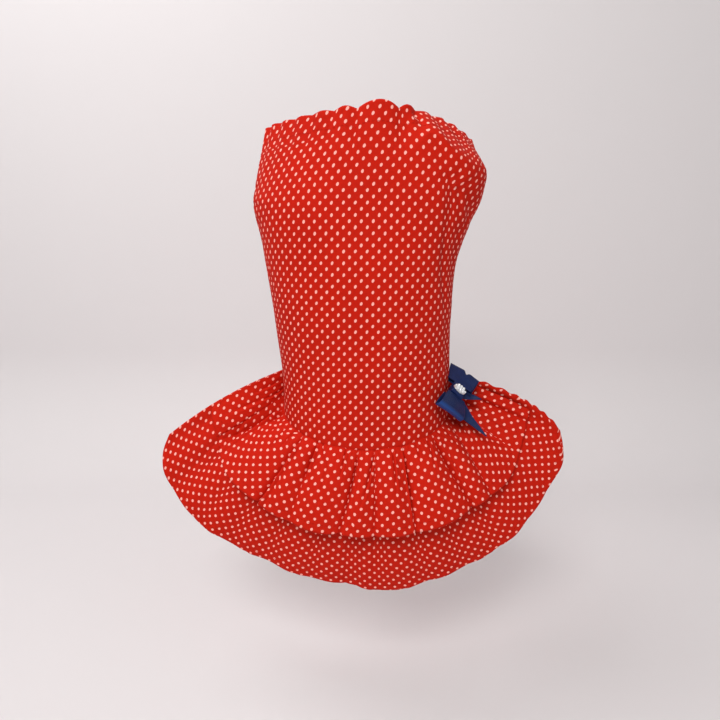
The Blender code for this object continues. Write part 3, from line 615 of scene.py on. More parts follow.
def back_places(shares, heights):
    """Angle and height of the back panel's grid: its rows follow the curved tail, and are level above it."""
    share, height = np.meshgrid(shares, heights)
    tail = curve_of(TAIL, np.abs(-TAIL_ANGLE + 2.0 * TAIL_ANGLE * share))
    below = TAIL_LINE + (height - TAIL_LINE) * (TAIL_LINE - tail) / (TAIL_LINE - TAIL_END)
    height = np.where(height < TAIL_LINE, below, height)
    left, right = side_angle(1, height), side_angle(3, height)
    return left + (right - left) * share, height, left, right


def panel_heights(lowest, step, neck_step):
    """Heights of a panel's rows, from its lower edge to the neck, in finer steps over the gathers."""
    coarse, fine = np.arange(lowest, COARSE_END, step), np.arange(FINE_START, FINE_END, neck_step)
    return np.concatenate((coarse, fine, [0.0]))


def row_at(heights, height):
    """The row that is nearest to a height."""
    return int(np.argmin(np.abs(heights - height)))


def with_casing(points, across, rows, level):
    """A panel with its casing turned in behind the neck edge, and its lengths of cloth."""
    points = turned_in(points, rows, CASING_GAP * MM)
    across = np.concatenate((across, across[-1:], across[-2:-2 - rows:-1]))
    return points, np.stack([across, column_lengths(points, level)], axis=-1)


def shelf_lengths(points, angle, height, across):
    """Lengths across with the print straight upwards on the shelf that the right shoulder holds out."""
    border_height = curve_of(SHELF, angle)
    border = np.argmin(np.abs(height - border_height), axis=0)
    column = np.arange(angle.shape[1])
    held = (angle[0] > SHELF_HELD[0]) & (angle[0] < SHELF_HELD[1])
    border_x, border_across = points[border, column, 0][held], across[border, column][held]
    order = np.argsort(border_x)
    border_x = border_x[order]
    x = points[..., 0]
    beyond = (np.minimum(x - border_x[0], 0.0) + np.maximum(x - border_x[-1], 0.0)) / MM
    straight = np.interp(x, border_x, border_across[order]) + beyond
    fading = 1.0 - ease((angle - SHELF_FADE[0]) / SHELF_FADE[1])
    share = ease((height - border_height) / SHELF_BLEND) * fading * (border_height < SHELF_LEAST)
    return across + (straight - across) * share


def folded_in(angle, height):
    """Length of cloth in millimetres that the fold below the right shoulder takes in."""
    line = np.interp(-height, FOLD_LINE[:, 1], FOLD_LINE[:, 0])
    growing = ease((-height - FOLD_START[0]) / FOLD_START[1])
    fading = 1.0 - ease((-height - FOLD_END[0]) / FOLD_END[1])
    return FOLD_TAKE * growing * fading * ease((angle - line) * DEGREE_LENGTH / FOLD_WIDTH + 0.5)


def back_panel():
    """Back of the bodice and its lengths of cloth."""
    angle, height, left, right = back_places(np.linspace(0.0, 1.0, BACK_COLUMNS), BACK_HEIGHTS)
    points = panel_points(angle, height, left, right, lower=(BACK_HEIGHTS - BACK_HEIGHTS[0])[:, None])
    along = row_lengths(points)
    along -= np.stack([np.interp([0.0], a, s) for a, s in zip(angle, along)])
    chest = row_at(BACK_HEIGHTS, CHEST_LINE)
    start = BACK_GATHERS[:, 0]
    ridges = np.broadcast_to((start[:-1] + start[1:]) / 2, (len(points), len(start) - 1))
    notches = np.broadcast_to(start[1:-1], (len(points), len(start) - 2))
    gathered = gathered_lengths(along, angle, ridges, notches, chest, NOTCH_REACH, NO_LEAST)
    across = np.where(np.arange(len(points))[:, None] > chest, gathered, along)
    across = shelf_lengths(points, angle, height, across + folded_in(angle, height))
    casing_rows = int(CASING_DEPTH / BACK_NECK_STEP)
    return with_casing(points, across, casing_rows, row_at(BACK_HEIGHTS, LEVEL_HEIGHT))


BACK_HEIGHTS = panel_heights(BACK_LOWEST, BACK_STEP, BACK_NECK_STEP)
back_grid = back_panel()
back_cloth = cloth_piece("back_cloth", *back_grid, ["back_panel"])

# Belly of the bodice: a second, shorter panel of the same cotton, sewn to the back at the sides and over the
# shoulders. It ends in a narrow hem at the waist and is cut away round both leg holes.
BELLY_END, BELLY_STEP, BELLY_NECK_STEP, BELLY_COLUMNS = -162.0, 1.45, 0.8, 170
BELLY_LEVEL_ROW = 40
BELLY_HEIGHTS = panel_heights(BELLY_END, BELLY_STEP, BELLY_NECK_STEP)


def belly_panel():
    """Belly of the bodice and its lengths of cloth."""
    share, height = np.meshgrid(np.linspace(0.0, 1.0, BELLY_COLUMNS), BELLY_HEIGHTS)
    right, left = side_angle(4, height), side_angle(2, height) + 360.0
    points = panel_points(right + (left - right) * share, height, right, left)
    across = row_lengths(points)
    across -= across[:, across.shape[1] // 2, None]
    return with_casing(points, across, int(CASING_DEPTH / BELLY_NECK_STEP), BELLY_LEVEL_ROW)


belly_grid = belly_panel()
belly_cloth = cloth_piece("belly_cloth", *belly_grid, ["belly_panel"])

# Stitching of the bodice in red thread: a row below the neck edge, which closes the casing of the elastic,
# one round each leg hole and one along the belly's hem.
STITCH_STEP, STITCH_LENGTH, STITCH_REACH, THREAD_RADIUS = 2.6, 1.9, 0.8, 0.13
STITCH_INSET, HEM_STITCH_ROW, SIDE_STITCH_COLUMNS = 1.0, 3, (3, -4)
LEG_STITCHES = (-56.5, -14.5)
THREAD_RED, THREAD_ROUGHNESS, THREAD_GLOSS = (0.50, 0.012, 0.004, 1.0), 0.8, 0.1
SMALL_SHADE, SMALL_PATCHES = 0.7, 300.0


def at_lengths(values, length, places):
    """Values at the given places along a line whose points lie at the given lengths."""
    return np.stack([np.interp(places, length, values[:, k]) for k in range(3)], axis=1)


def line_lengths(points):
    """Length along a line up to each of its points."""
    return np.pad(np.cumsum(np.linalg.norm(np.diff(points, axis=0), axis=1)), (1, 0))


def small_ovals(middles, along, facing, half_length, radius):
    """Points and faces of many small closed ovals: six-sided, along one way and flat on the other."""
    side = unit(np.cross(along, facing))
    turn = np.radians(np.arange(0.0, 360.0, 60.0))
    rings = []
    for share, size in ((-0.6, 0.8), (0.0, 1.0), (0.6, 0.8)):
        ring = side[:, None] * np.cos(turn)[:, None] + facing[:, None] * np.sin(turn)[:, None]
        rings.append(middles[:, None] + along[:, None] * half_length * share + ring * radius * size)
    ends = [(middles + along * half_length * k)[:, None] for k in (-1.0, 1.0)]
    points = np.concatenate(rings + ends, axis=1)
    k, after = np.arange(6), (np.arange(6) + 1) % 6
    walls = [np.stack([k + low, after + low, after + low + 6, k + low + 6], axis=1) for low in (0, 6)]
    walls = [np.concatenate((wall[:, [0, 1, 2]], wall[:, [0, 2, 3]])) for wall in walls]
    first_cap = np.stack([after, k, np.full(6, 18)], axis=1)
    last_cap = np.stack([k + 12, after + 12, np.full(6, 19)], axis=1)
    faces = np.concatenate(walls + [first_cap, last_cap])
    return points.reshape(-1, 3), (faces + 20 * np.arange(len(middles))[:, None, None]).reshape(-1, 3)


def stitch_row(points, normals):
    """Points and faces of the stitches along a line on the cloth."""
    length = line_lengths(points) / MM
    count = int(length[-1] / STITCH_STEP)
    places = (np.arange(count) + 0.5) * length[-1] / count
    before, after = (at_lengths(points, length, places + reach) for reach in (-STITCH_REACH, STITCH_REACH))
    along = unit(after - before)
    facing = unit(at_lengths(normals, length, places))
    middles = at_lengths(points, length, places) + facing * (CLOTH / 2 + 0.5 * THREAD_RADIUS * MM)
    return small_ovals(middles, along, facing, STITCH_LENGTH / 2 * MM, THREAD_RADIUS * MM)


def small_parts(name, parts, material, smooth=True):
    """One piece from many small closed parts, that lies on the dress."""
    first = np.cumsum([0] + [len(points) for points, _ in parts[:-1]])
    points = np.concatenate([points for points, _ in parts])
    faces = np.concatenate([faces + start for (_, faces), start in zip(parts, first)])
    on_dress(mesh_piece(name, points, faces, material, smooth))


def bodice_stitches():
    """The rows of stitches of both panels."""
    lines = []
    for grid, heights in ((back_grid[0], BACK_HEIGHTS), (belly_grid[0], BELLY_HEIGHTS)):
        outside = grid[:len(heights)]
        normals = surface_normals(outside)
        row = int(np.argmin(np.abs(heights + CASING_DEPTH - STITCH_INSET)))
        hole = (heights > LEG_STITCHES[0]) & (heights < LEG_STITCHES[1])
        places = [(row, slice(2, -2))] + [(hole, column) for column in SIDE_STITCH_COLUMNS]
        if heights is BELLY_HEIGHTS:
            places.append((HEM_STITCH_ROW, slice(2, -2)))
        lines += [(outside[place], normals[place]) for place in places]
    return [stitch_row(*line) for line in lines]


red_thread = plain_material("red_thread", THREAD_RED, SMALL_SHADE, SMALL_PATCHES, THREAD_ROUGHNESS,
                            gloss=THREAD_GLOSS)
small_parts("bodice_stitching", bodice_stitches(), red_thread)

# Skirt: two strips of the same cotton, gathered to the tail from flank to flank. The long tier flares out
# below the seam, the short one lies over it, and both fall in ripples that the gathers hold at the top.
WALL = 1.2 * MM
SEAM_GAP = 0.3 * MM
SEAM_DROP, FLANK_DROP, NEAR_SEAM = 1.5, 4.2, (0.06, 0.05)
TUCK_RISE = 2.2 * MM
TUCK_END, TUCK_FADE = 0.66, 0.10
TUCK_UP, PULL_REACH = 0.6, 3.2
LOWER_BEHIND, UPPER_BEHIND = 1.55, 0.9
LEFT_LIFT = -0.05
ARCH, FLANK_FLAT, LEFT_ARCH, FLANK_CREST = -8.0, 5.0, 4.5, 30.0
UPPER_SPAN = 0.985
RIPPLE_FULL, RIPPLE_GROWTH, HEM_FLATTENING = 0.45, 0.7, 0.45
CORNER_CUT, CORNER_REACH = 0.11, 3.5
HEM_ROWS, HEM_GAP = 5, 0.8
LOWER_STITCH_ROW, UPPER_STITCH_ROW = 4, 5
SLANT_ROW, SLANT_START, SLANT_FADE = 6, 0.84, 0.06
BUMP_LENGTH, BUMP_HEIGHT, BUMP_START, BUMP_FADE = 10.0, 0.65, 0.965, 20.0
DRIFT, DRIFT_LENGTH = 2.4, 12.0
LOWER_STRIP, LOWER_FALL, LOWER_TROUGH = 430.0, 96.0, 10.0
UPPER_STRIP, UPPER_FALL, UPPER_TROUGH = 390.0, 50.0, 1.0
LOWER_PUCKERS, UPPER_PUCKERS = (21, 5.5, 0.8, 9.0), (34, 4.6, 0.9, 6.0)
# Each tier's columns as shares of the seam, and its rows as shares of the way from the seam to the hem
LOWER_SHARES, UPPER_SHARES = np.linspace(0.0, 1.0, 460), np.linspace(0.0, 1.0, 640)
LOWER_ROWS = np.concatenate((np.linspace(1.0, 0.03, 84), [0.02, 0.01, 0.0]))
UPPER_ROWS = np.concatenate((np.linspace(1.0, 0.08, 50), np.linspace(0.07, 0.0, 8)))
SKIRT_DOT, SKIRT_LEAN = (0.86, 0.90), 0.0

HEM = np.array([
    # across, forward, height
    (-131, 17, -201), (-136, 20, -214.5), (-131.2, 25, -232.7), (-111.5, 33, -257.5),
    (-95.5, 37, -268.5), (-68.8, 42, -279.5), (-43.7, 45, -289.5), (-14.2, 47, -294.5),
    (13.7, 48, -299), (48.1, 46, -291), (72.5, 42, -281.5), (97, 37, -268), (111.2, 32, -249.5),
    (127.6, 24, -225.5), (132.8, 20, -212.5), (128.3, 17, -200.5),
])
LOWER_RIPPLES = np.array([
    # share of the seam, share of the hem, height
    (0, 0, 0.4), (0.035, 0.03, -1.2), (0.075, 0.068, 1.2), (0.11, 0.105, -1.2), (0.15, 0.14, 1),
    (0.18, 0.175, -1), (0.215, 0.205, 0.8), (0.25, 0.24, -1.2), (0.29, 0.28, 1.2), (0.325, 0.318, -0.9),
    (0.365, 0.36, 1.2), (0.405, 0.4, -0.8), (0.44, 0.438, 1), (0.478, 0.474, -1.4), (0.505, 0.505, 0.6),
    (0.53, 0.532, -1.2), (0.57, 0.575, 1.2), (0.605, 0.612, -1), (0.64, 0.648, 0.8), (0.672, 0.684, -1),
    (0.71, 0.722, 1.2), (0.75, 0.758, -1.1), (0.785, 0.792, 0.9), (0.82, 0.826, -1), (0.862, 0.862, 1),
    (0.9, 0.898, -0.8), (0.935, 0.934, 0.8), (0.972, 0.966, -3), (1, 1, 2.6),
])
UPPER_RIPPLES = np.array([
    # share of the seam, share of the hem, height
    (0, 0, 0.8), (0.062, 0.045, 2), (0.131, 0.091, -3), (0.218, 0.182, 2.8), (0.303, 0.272, -3.2),
    (0.33, 0.312, 2.2), (0.358, 0.348, -2.2), (0.42, 0.4, 2.6), (0.484, 0.452, -2.6),
    (0.508, 0.488, 1.8), (0.531, 0.524, -1.8), (0.572, 0.567, 2.6), (0.614, 0.609, -2.8),
    (0.668, 0.674, 2.8), (0.719, 0.737, -3), (0.768, 0.764, 2), (0.812, 0.789, -1.8), (0.855, 0.862, 2),
    (0.898, 0.914, -0.8), (0.938, 0.945, 1.4), (0.968, 0.974, -1.4), (1, 1, 0.4),
])
UPPER_CREASES = np.array([
    # share and length of the start, share and length of the end, depth, width, roll, share kept
    (0.131, 0, 0.118, 0.55, 4.5, 2.2, 0.8, 0.3), (0.118, 0.42, 0.09, 1.02, 2.1, 2.6, 0.5, 0.3),
    (0.153, 0, 0.147, 0.3, 2.2, 1, -0.4, 0), (0.303, 0, 0.272, 1.02, 4, 1.7, 0.8, 0.8),
    (0.358, 0, 0.349, 0.66, 3, 1.4, 0.7, 0), (0.372, 0, 0.412, 0.32, 1.6, 1, 0.4, 0),
    (0.404, 0.12, 0.4, 0.86, 1.3, 1.8, 0.3, 0.2), (0.447, 0, 0.439, 0.42, 1.9, 1, 0.5, 0),
    (0.484, 0.02, 0.452, 1.02, 2.8, 1.6, 0.5, 0.6), (0.531, 0, 0.488, 0.75, 2.4, 1.1, 0.5, 0),
    (0.53, 0.5, 0.526, 1.02, 1.4, 1.3, 0.3, 0.6), (0.582, 0, 0.576, 0.66, 1.8, 1, 0.5, 0),
    (0.614, 0, 0.609, 1.02, 3.4, -1, 0.6, 0.5), (0.655, 0, 0.65, 0.3, 1.4, 0.9, 0.4, 0),
    (0.697, 0, 0.681, 0.46, 1.9, 1, 0.4, 0), (0.719, 0.02, 0.737, 1.02, 3, 1.5, 0.7, 0.6),
    (0.727, 0.04, 0.768, 0.34, 1.8, 1, 0.5, 0), (0.776, 0, 0.78, 0.38, 1.4, 1, 0.4, 0),
    (0.812, 0.3, 0.788, 1.02, 1.6, 1.9, 0.4, 0.5), (0.844, 0, 0.852, 0.5, 1.8, 1.2, 0.4, 0),
    (0.893, 0.55, 0.912, 0.97, 1.4, 1.6, 0.4, 0), (0.908, 0, 0.903, 0.46, 1.9, 1.2, 0.5, 0),
    (0.942, 0, 0.95, 0.62, 1.4, 1.2, 0.4, 0), (0.966, 0.06, 0.976, 1.02, 2.6, 1.7, 0.5, 0.6),
    (0.268, 0, 0.256, 0.34, 1.4, 0.9, 0.4, 0), (0.236, 0, 0.23, 0.48, 1.8, 1, 0.5, 0),
    (0.192, 0, 0.202, 0.36, 1.4, 1, 0.4, 0), (0.083, 0.6, 0.12, 0.88, 1.4, 1.7, 0.4, 0),
    (0.062, 0, 0.05, 0.46, 1.6, 1.2, 0.4, 0), (0.052, 0.3, 0.038, 0.92, 1.3, 1.8, 0.3, 0),
    (0.028, 0, 0.026, 0.5, 1.3, 1.2, 0.4, 0),
])
LOWER_CREASES = np.array([
    # share and length of the start, share and length of the end, depth, width, roll, share kept
    (0.026, 0.1, 0.034, 0.8, 1, 2, 0.4, 0), (0.07, 0.3, 0.105, 1.02, 0.8, 2.4, 0.4, 0.4),
    (0.128, 0.45, 0.165, 1.02, 1, 2.4, 0.4, 0.5), (0.182, 0.4, 0.212, 1.02, 0.9, 2.2, -0.4, 0.5),
    (0.252, 0.35, 0.276, 1.02, 1, 2.4, 0.4, 0.5), (0.31, 0.3, 0.322, 0.94, 0.7, 2.4, 0.4, 0),
    (0.35, 0.45, 0.372, 1.02, 0.8, 2.2, 0.4, 0.5), (0.398, 0.35, 0.41, 0.96, 0.7, 2, 0.4, 0),
    (0.459, 0.4, 0.464, 1.02, 1.1, 2, 0.4, 0.5), (0.492, 0.5, 0.486, 1.02, 0.7, 1.8, 0.4, 0.4),
    (0.518, 0.4, 0.516, 1.02, 1.1, 2, -0.4, 0.5), (0.566, 0.45, 0.572, 1.02, 0.9, 2.2, 0.4, 0.5),
    (0.625, 0.4, 0.619, 1.02, 1, 2.2, 0.4, 0.5), (0.668, 0.45, 0.66, 0.98, 0.7, 2, 0.4, 0),
    (0.714, 0.4, 0.694, 1.02, 1.1, 2.2, -0.4, 0.5), (0.752, 0.4, 0.732, 1.02, 0.9, 2, 0.4, 0.5),
    (0.785, 0.45, 0.76, 1.02, 0.9, 2.2, 0.4, 0.5), (0.872, 0.4, 0.828, 1.02, 1, 2.4, 0.4, 0.5),
    (0.926, 0.3, 0.912, 0.98, 0.8, 2.2, 0.4, 0), (0.958, 0.4, 0.884, 1.02, 0.7, 2.4, 0.4, 0.4),
])
UPPER_FALLS = np.array([
    # share of the strip, length, rise
    (0, 52, 8),
    (0.15, 48, 9),
    (0.3, 47, 9.5),
    (0.42, 48.8, 9.5),
    (0.5, 48.2, 9.5),
    (0.6, 49.4, 9.5),
    (0.7, 49, 9.5),
    (0.76, 49, 9.5),
    (0.82, 52, 7.5),
    (0.87, 55, 4.5),
    (0.92, 57, 2.6),
    (1, 59, 2),
])


def along_line(points, shares):
    """Points at the given shares of the length of a line."""
    length = line_lengths(points)
    return at_lengths(points, length, shares * length[-1])


def fold_curve(knots, values, at):
    """Folds from ridge to trough: a quarter sine wave each, level on the ridge and sharp in the trough."""
    i, t = interval(knots, at)
    from_trough = values[i + 1] > values[i]
    rise = np.sin(np.pi / 2 * np.where(from_trough, t, 1 - t))
    low, high = np.minimum(values[i], values[i + 1]), np.maximum(values[i], values[i + 1])
    return low + (high - low) * rise


def wave_curve(knots, values, at):
    """Soft waves between ridges and troughs: half a cosine wave each, level on both."""
    i, t = interval(knots, at)
    return values[i] + (values[i + 1] - values[i]) * (1 - np.cos(np.pi * t)) / 2


def tail_seam(shares):
    """The seam that carries the skirt: the left flank's edge, round the tail, and the right flank's edge."""
    heights = np.linspace(TAIL_LINE, TAIL_END, 9)
    flank = body(*back_places(np.array([0.0, 1.0]), heights)[:2])
    lower = body(*back_places(np.linspace(0.0, 1.0, 121), np.array([TAIL_END]))[:2])[0]
    line = np.concatenate((flank[:-1, 0], lower, flank[-2::-1, 1]))
    return along_line(line, shares)


def hem_line(shares):
    """The lower tier's hem, at equal steps of its length."""
    rows = np.arange(len(HEM))
    fine = np.linspace(0, len(HEM) - 1, 400)
    line = np.stack([smooth_curve(rows, HEM[:, k], fine) for k in range(3)], axis=1) * MM
    line[:, 1] *= -1.0
    return along_line(line, shares)


def at_flanks(share):
    """1 at both ends of the skirt and near 0 round the tail: the fourth power of the way from the middle."""
    return np.abs(2 * share - 1) ** 4


def skirt_base(shares, lengths, tier_length=None):
    """The skirt without its ripples: straight from seam to hem, arched outwards, and up at the flanks."""
    share, t = np.meshgrid(shares, lengths)
    seam, hem = tail_seam(shares)[None], hem_line(shares)[None]
    t = t[..., None]
    if tier_length is not None:
        t = t * (tier_length / np.linalg.norm(hem - seam, axis=-1))[..., None]
    end, left, none = at_flanks(share), share < 0.5, np.zeros_like(share)
    arch = np.stack([none, ARCH + FLANK_FLAT * end, np.where(left, LEFT_ARCH * end, 0.0)], axis=-1) * MM
    crest = np.stack([none, none, np.where(left, 0.0, FLANK_CREST * end)], axis=-1) * MM
    held = np.clip(t, 0.0, 1.0)
    return seam + (hem - seam) * t + arch * 4 * t * (1 - t) + crest * held ** 1.2 * (1 - held) ** 0.6


def ripples(table, shares, lengths, curve):
    """Ripple height in millimetres: each ridge and trough runs from its seam share to its hem share.

    The ripples grow fast below the seam, where gathers hold the cloth, and flatten again towards the hem.
    """
    rows = []
    for t in np.clip(lengths, 0.0, 1.0):
        growth = np.minimum(t / RIPPLE_FULL, 1.0) ** RIPPLE_GROWTH * (1.0 - HEM_FLATTENING * t ** 2)
        rows.append(curve(table[:, 0] + (table[:, 1] - table[:, 0]) * t, table[:, 2], shares) * growth)
    return np.stack(rows)


def raised_height(x, y, waves, row, table, strip, fall):
    """Height in millimetres over a tier's base: its ripples, the puckers below its seam and its creases."""
    return waves + puckers(x, y, *row) + creases(x, y, table * (strip, fall, strip, fall, 1, 1, 1, 1))


def down_from_seam(shares):
    """The way down from the seam, as unit vectors."""
    below, above = skirt_base(shares, NEAR_SEAM)
    return unit(below - above)


def seam_start(shares, facing):
    """Offset of a tier from the seam: clear below the bodice's edge, and to its outer or inner side."""
    drop = WALL / 2 + SEAM_GAP * (SEAM_DROP + FLANK_DROP * at_flanks(shares[:, None]))
    return down_from_seam(shares) * drop + facing * (WALL + SEAM_GAP) / 2


def pulled_up(points, shares, down, normal, behind):
    """The tier with its top edge drawn up to the seam and tucked in behind the bodice, as it is sewn."""
    seam = tail_seam(shares) - down_from_seam(shares) * TUCK_UP * MM - normal[-1] * behind * MM
    return points + np.exp(-(down / PULL_REACH) ** 2)[..., None] * (seam - points[-1])


def tier_lengths(points, shares, lengths, table, width, least):
    """Lengths of cloth of a tier: each ripple between two troughs keeps the cloth that it has at the hem."""
    troughs = table[table[:, 2] < 0.0]
    seam = np.concatenate(([0.0], (troughs[1:, 0] + troughs[:-1, 0]) / 2, [1.0]))
    hem = np.concatenate(([0.0], (troughs[1:, 1] + troughs[:-1, 1]) / 2, [1.0]))
    t = np.asarray(lengths)[:, None]
    along = row_lengths(points, flat=False)
    along -= along[:, along.shape[1] // 2, None]
    place = np.broadcast_to(shares, along.shape)
    ridges, lows = seam + (hem - seam) * t, troughs[:, 0] + (troughs[:, 1] - troughs[:, 0]) * t
    across = gathered_lengths(along, place, ridges, lows, 0, width, least)
    down = column_lengths(points, len(points) - 1) + slant(points, shares)
    return np.stack([across, down], axis=-1)


def slant(points, shares):
    """Length by which the print runs up the leaning columns at the right: what a level row climbs there."""
    up = column_lengths(points, 0)
    row = len(points) // SLANT_ROW
    ways = unit(np.gradient(points, axis=0))[row]
    steps = np.diff(points[row], axis=0) / MM
    climb = np.sum(steps * unit(ways[1:] + ways[:-1]), axis=-1) - np.diff(up[row] - up[-1])
    held = ease((shares[1:] - SLANT_START) / SLANT_FADE)
    return np.pad(np.cumsum(climb * held), (1, 0))


def hemmed(points, lengths):
    """The tier with its hem turned in behind it, with the print on that part too."""
    turned = turned_in(points, HEM_ROWS, HEM_GAP * MM, at_hem=True)
    behind = np.concatenate((lengths[HEM_ROWS:0:-1], lengths[:1]))
    return turned, np.concatenate((behind, lengths))


def lower_tier():
    """The long tier and its lengths of cloth: round the tail its top edge is tucked up behind the bodice."""
    shares, lengths = LOWER_SHARES, LOWER_ROWS
    base = skirt_base(shares, lengths)
    normal = surface_normals(base)
    x, y = np.meshgrid(shares * LOWER_STRIP, lengths * LOWER_FALL)
    waves = ripples(LOWER_RIPPLES, shares, lengths, wave_curve)
    raised = raised_height(x, y, waves, LOWER_PUCKERS, LOWER_CREASES, LOWER_STRIP, LOWER_FALL)
    points = base + normal * raised[..., None] * MM
    from_end = (TUCK_END - np.abs(2 * shares - 1))[:, None] / TUCK_FADE
    inside, lifted = np.clip(from_end, 0.0, 1.0), np.clip(from_end - 1.0, 0.0, 1.0)
    outward = unit(base[-1] * (1.0, 1.0, 0.0))
    behind = -outward * (WALL + 2.0 * SEAM_GAP) - np.array((0.0, 0.0, WALL / 2 + SEAM_GAP))
    points += behind * inside + seam_start(shares, -normal[-1]) * (1 - inside)
    points = points * inside + pulled_up(points, shares, y, normal, LOWER_BEHIND) * (1 - inside)
    points[-1] += lifted * (0.0, 0.0, TUCK_RISE)
    drift = DRIFT * np.sin(y / DRIFT_LENGTH)
    bumps = np.sin(2 * np.pi * y / BUMP_LENGTH + drift) * ease(y / BUMP_FADE)
    points[..., 2] += BUMP_HEIGHT * MM * bumps * ease((shares - BUMP_START) / (1.0 - BUMP_START))
    return hemmed(points, tier_lengths(points, shares, lengths, LOWER_RIPPLES, LOWER_TROUGH, 0.0))


def upper_tier():
    """The short tier and its lengths of cloth: the long tier's base, moved out more and more to its hem."""
    shares, lengths = UPPER_SHARES, UPPER_ROWS
    share, t = np.meshgrid(shares, lengths)
    rounded = t * (1.0 - CORNER_CUT * np.exp(-share * UPPER_STRIP / CORNER_REACH))
    places = shares * UPPER_SPAN
    fall, stand_off = (curve_of(UPPER_FALLS, shares, k) * MM for k in (1, 2))
    base = skirt_base(places, lengths, fall)
    normal = surface_normals(base)
    end = at_flanks(shares)
    upwards = end * np.where(shares < 0.5, LEFT_LIFT, 0.0)
    lift = unit(normal + np.stack([0 * end, 0 * end, upwards], axis=1)[None])
    rise = (lengths[:, None] ** 0.9 * stand_off)[..., None]
    x, y = share * UPPER_STRIP, rounded * UPPER_FALL
    waves = ripples(UPPER_RIPPLES, shares, lengths, fold_curve)
    raised = raised_height(x, y, waves, UPPER_PUCKERS, UPPER_CREASES, UPPER_STRIP, UPPER_FALL)
    points = base + seam_start(places, normal[-1])[None] + lift * rise + normal * raised[..., None] * MM
    shorter = (points[0] - points[1])[None] * ((rounded - t) / (lengths[0] - lengths[1]))[..., None]
    points = pulled_up(points + shorter, places, y, normal, UPPER_BEHIND)
    return hemmed(points, tier_lengths(points, shares, lengths, UPPER_RIPPLES, UPPER_TROUGH, NO_LEAST))


skirt_cotton = printed_cotton("red_dotted_skirt_cotton", RED, DEEP_RED, DOT_WHITE, SKIRT_DOT, SKIRT_LEAN)
skirt_finish = (skirt_cotton, cotton_reverse)
lower_grid, upper_grid = lower_tier(), upper_tier()
lower_cloth = cloth_piece("lower_tier_cloth", *lower_grid, ["skirt_lower_tier"], finish=skirt_finish)
upper_cloth = cloth_piece("upper_tier_cloth", *upper_grid, ["skirt_upper_tier"], finish=skirt_finish)


def hem_stitches(grid, rows_up):
    """Stitches along a tier's hem, some rows above its edge."""
    outside = grid[HEM_ROWS + 1:]
    return stitch_row(outside[rows_up], surface_normals(outside)[rows_up])


hem_rows = [hem_stitches(lower_grid[0], LOWER_STITCH_ROW), hem_stitches(upper_grid[0], UPPER_STITCH_ROW)]
small_parts("skirt_stitching", hem_rows, red_thread)

# The bow: two loops and two ends of navy satin ribbon on the right flank, tied down by a wrap of the same
# ribbon. A cluster of cut stones in a plain metal setting sits on the wrap.
BOW_MIDDLE = np.array([58.5, -27.0, -169.5]) * MM
BOW_ALONG = np.array([0.37, 0.83, 0.45])
BOW_FACING = np.array([0.52, -0.57, 0.62])
RIBBON = 0.5 * MM
RIBBON_WIDTH = 24.0 * MM
LOOP_FOOT, LOOP_BLUNT = 1.6 * MM, 0.55
LOOP_STEPS, LOOP_COLUMNS = 81, 41
END_STEPS, END_COLUMNS = 16, 13
NOTCH_PLACE, NOTCH_WIDTH = 0.08, 0.06
KNOT_LENGTH, KNOT_WIDTH = 9.0 * MM, 9.5 * MM
KNOT_TOP, KNOT_ROUND = 3.4 * MM, 1.0 * MM
KNOT_FOOT, FOOT_RADIUS = (66.0, -174.0), 55.0 * MM
PLATE_STEPS = 33
JEWEL_LENGTH, JEWEL_WIDTH = 5.8 * MM, 9.0 * MM
SETTING_HEIGHT, SETTING_RIM, STONE_SINK = 1.2 * MM, 0.4 * MM, 0.25 * MM
STONES = np.array([
    # place along the bow, place across it, radius
    (-1.8, -1.95, 0.92), (-1.85, 0, 1.02), (-1.8, 1.95, 0.92), (0, -3.65, 0.84), (0, -1.95, 1),
    (0, 0, 1.02), (0, 1.95, 1), (0, 3.65, 0.84), (1.8, -1.95, 0.92), (1.85, 0, 1.02), (1.8, 1.95, 0.92),
])
# Each loop: side that faces out, middle of its end, the way its width lies, its start from the bow's middle,
# its thickness, the raise of its middle, how closely its layers lie on the right, its width at the knot, and
# the depth of the notch in its end
UPPER_LOOP = (-1.0, (66.2, -13.0, -159.7), (17.8, -16.0, -10.0), 5.5, 3.2, 1.6, 0.5, 0.80, 0.13)
LOWER_LOOP = (1.0, (51.8, -43.5, -178.4), (17.2, 10.0, -14.2), 5.0, 6.4, 0.8, 0.0, 0.70, 0.0)
SIDE_END = np.array([
    # x, y, z of the upper edge, then of the lower edge
    (64.9, -25.1, -170.4, 61.7, -26.4, -174.3),
    (70.2, -24, -172, 68.6, -25, -175.3),
    (75.6, -24.6, -174.9, 75.4, -24.8, -175.4),
])
HANGING_END = np.array([
    # x, y, z of the left edge, then of the right edge
    (59.6, -28.4, -175, 63.2, -26.6, -175.6),
    (61.4, -28.6, -181, 66.6, -27.6, -181),
    (62.9, -28.8, -186.9, 70.3, -28.6, -187),
    (69.2, -31.8, -191.6, 73.8, -32, -191.4),
    (76.8, -36.2, -196.6, 77.6, -36.2, -196.8),
])
NAVY = (0.0050, 0.0105, 0.0520, 1.0)
NAVY_LIGHT = (0.0080, 0.0240, 0.1150, 1.0)
# Painted highlight: a paler navy painted in a band across the lower loop's folded end, where light falls on
# the fold
NAVY_PAINTED_HIGHLIGHT, PAINTED_HIGHLIGHT_WIDTH = (0.0140, 0.0560, 0.2300, 1.0), 2.6
SATIN_ROUGHNESS, SATIN_GLOSS, SATIN_GRAIN = 0.40, 0.20, 0.4
SATIN_PATCHES, SATIN_DETAIL = 0.22, 3.0
RIB_STEP, RIB_DEPTH, RIB_STRENGTH = 0.5, 0.00006, 0.4
STONE_BRIGHT, STONE_GREY, STONE_PATCHES = (0.95, 0.96, 0.98, 1.0), (0.74, 0.76, 0.81, 1.0), 900.0
STONE_ROUGHNESS, STONE_COAT = 0.12, 0.6
SILVER, SILVER_ROUGHNESS, SILVER_METAL = (0.86, 0.86, 0.88, 1.0), 0.28, 0.45
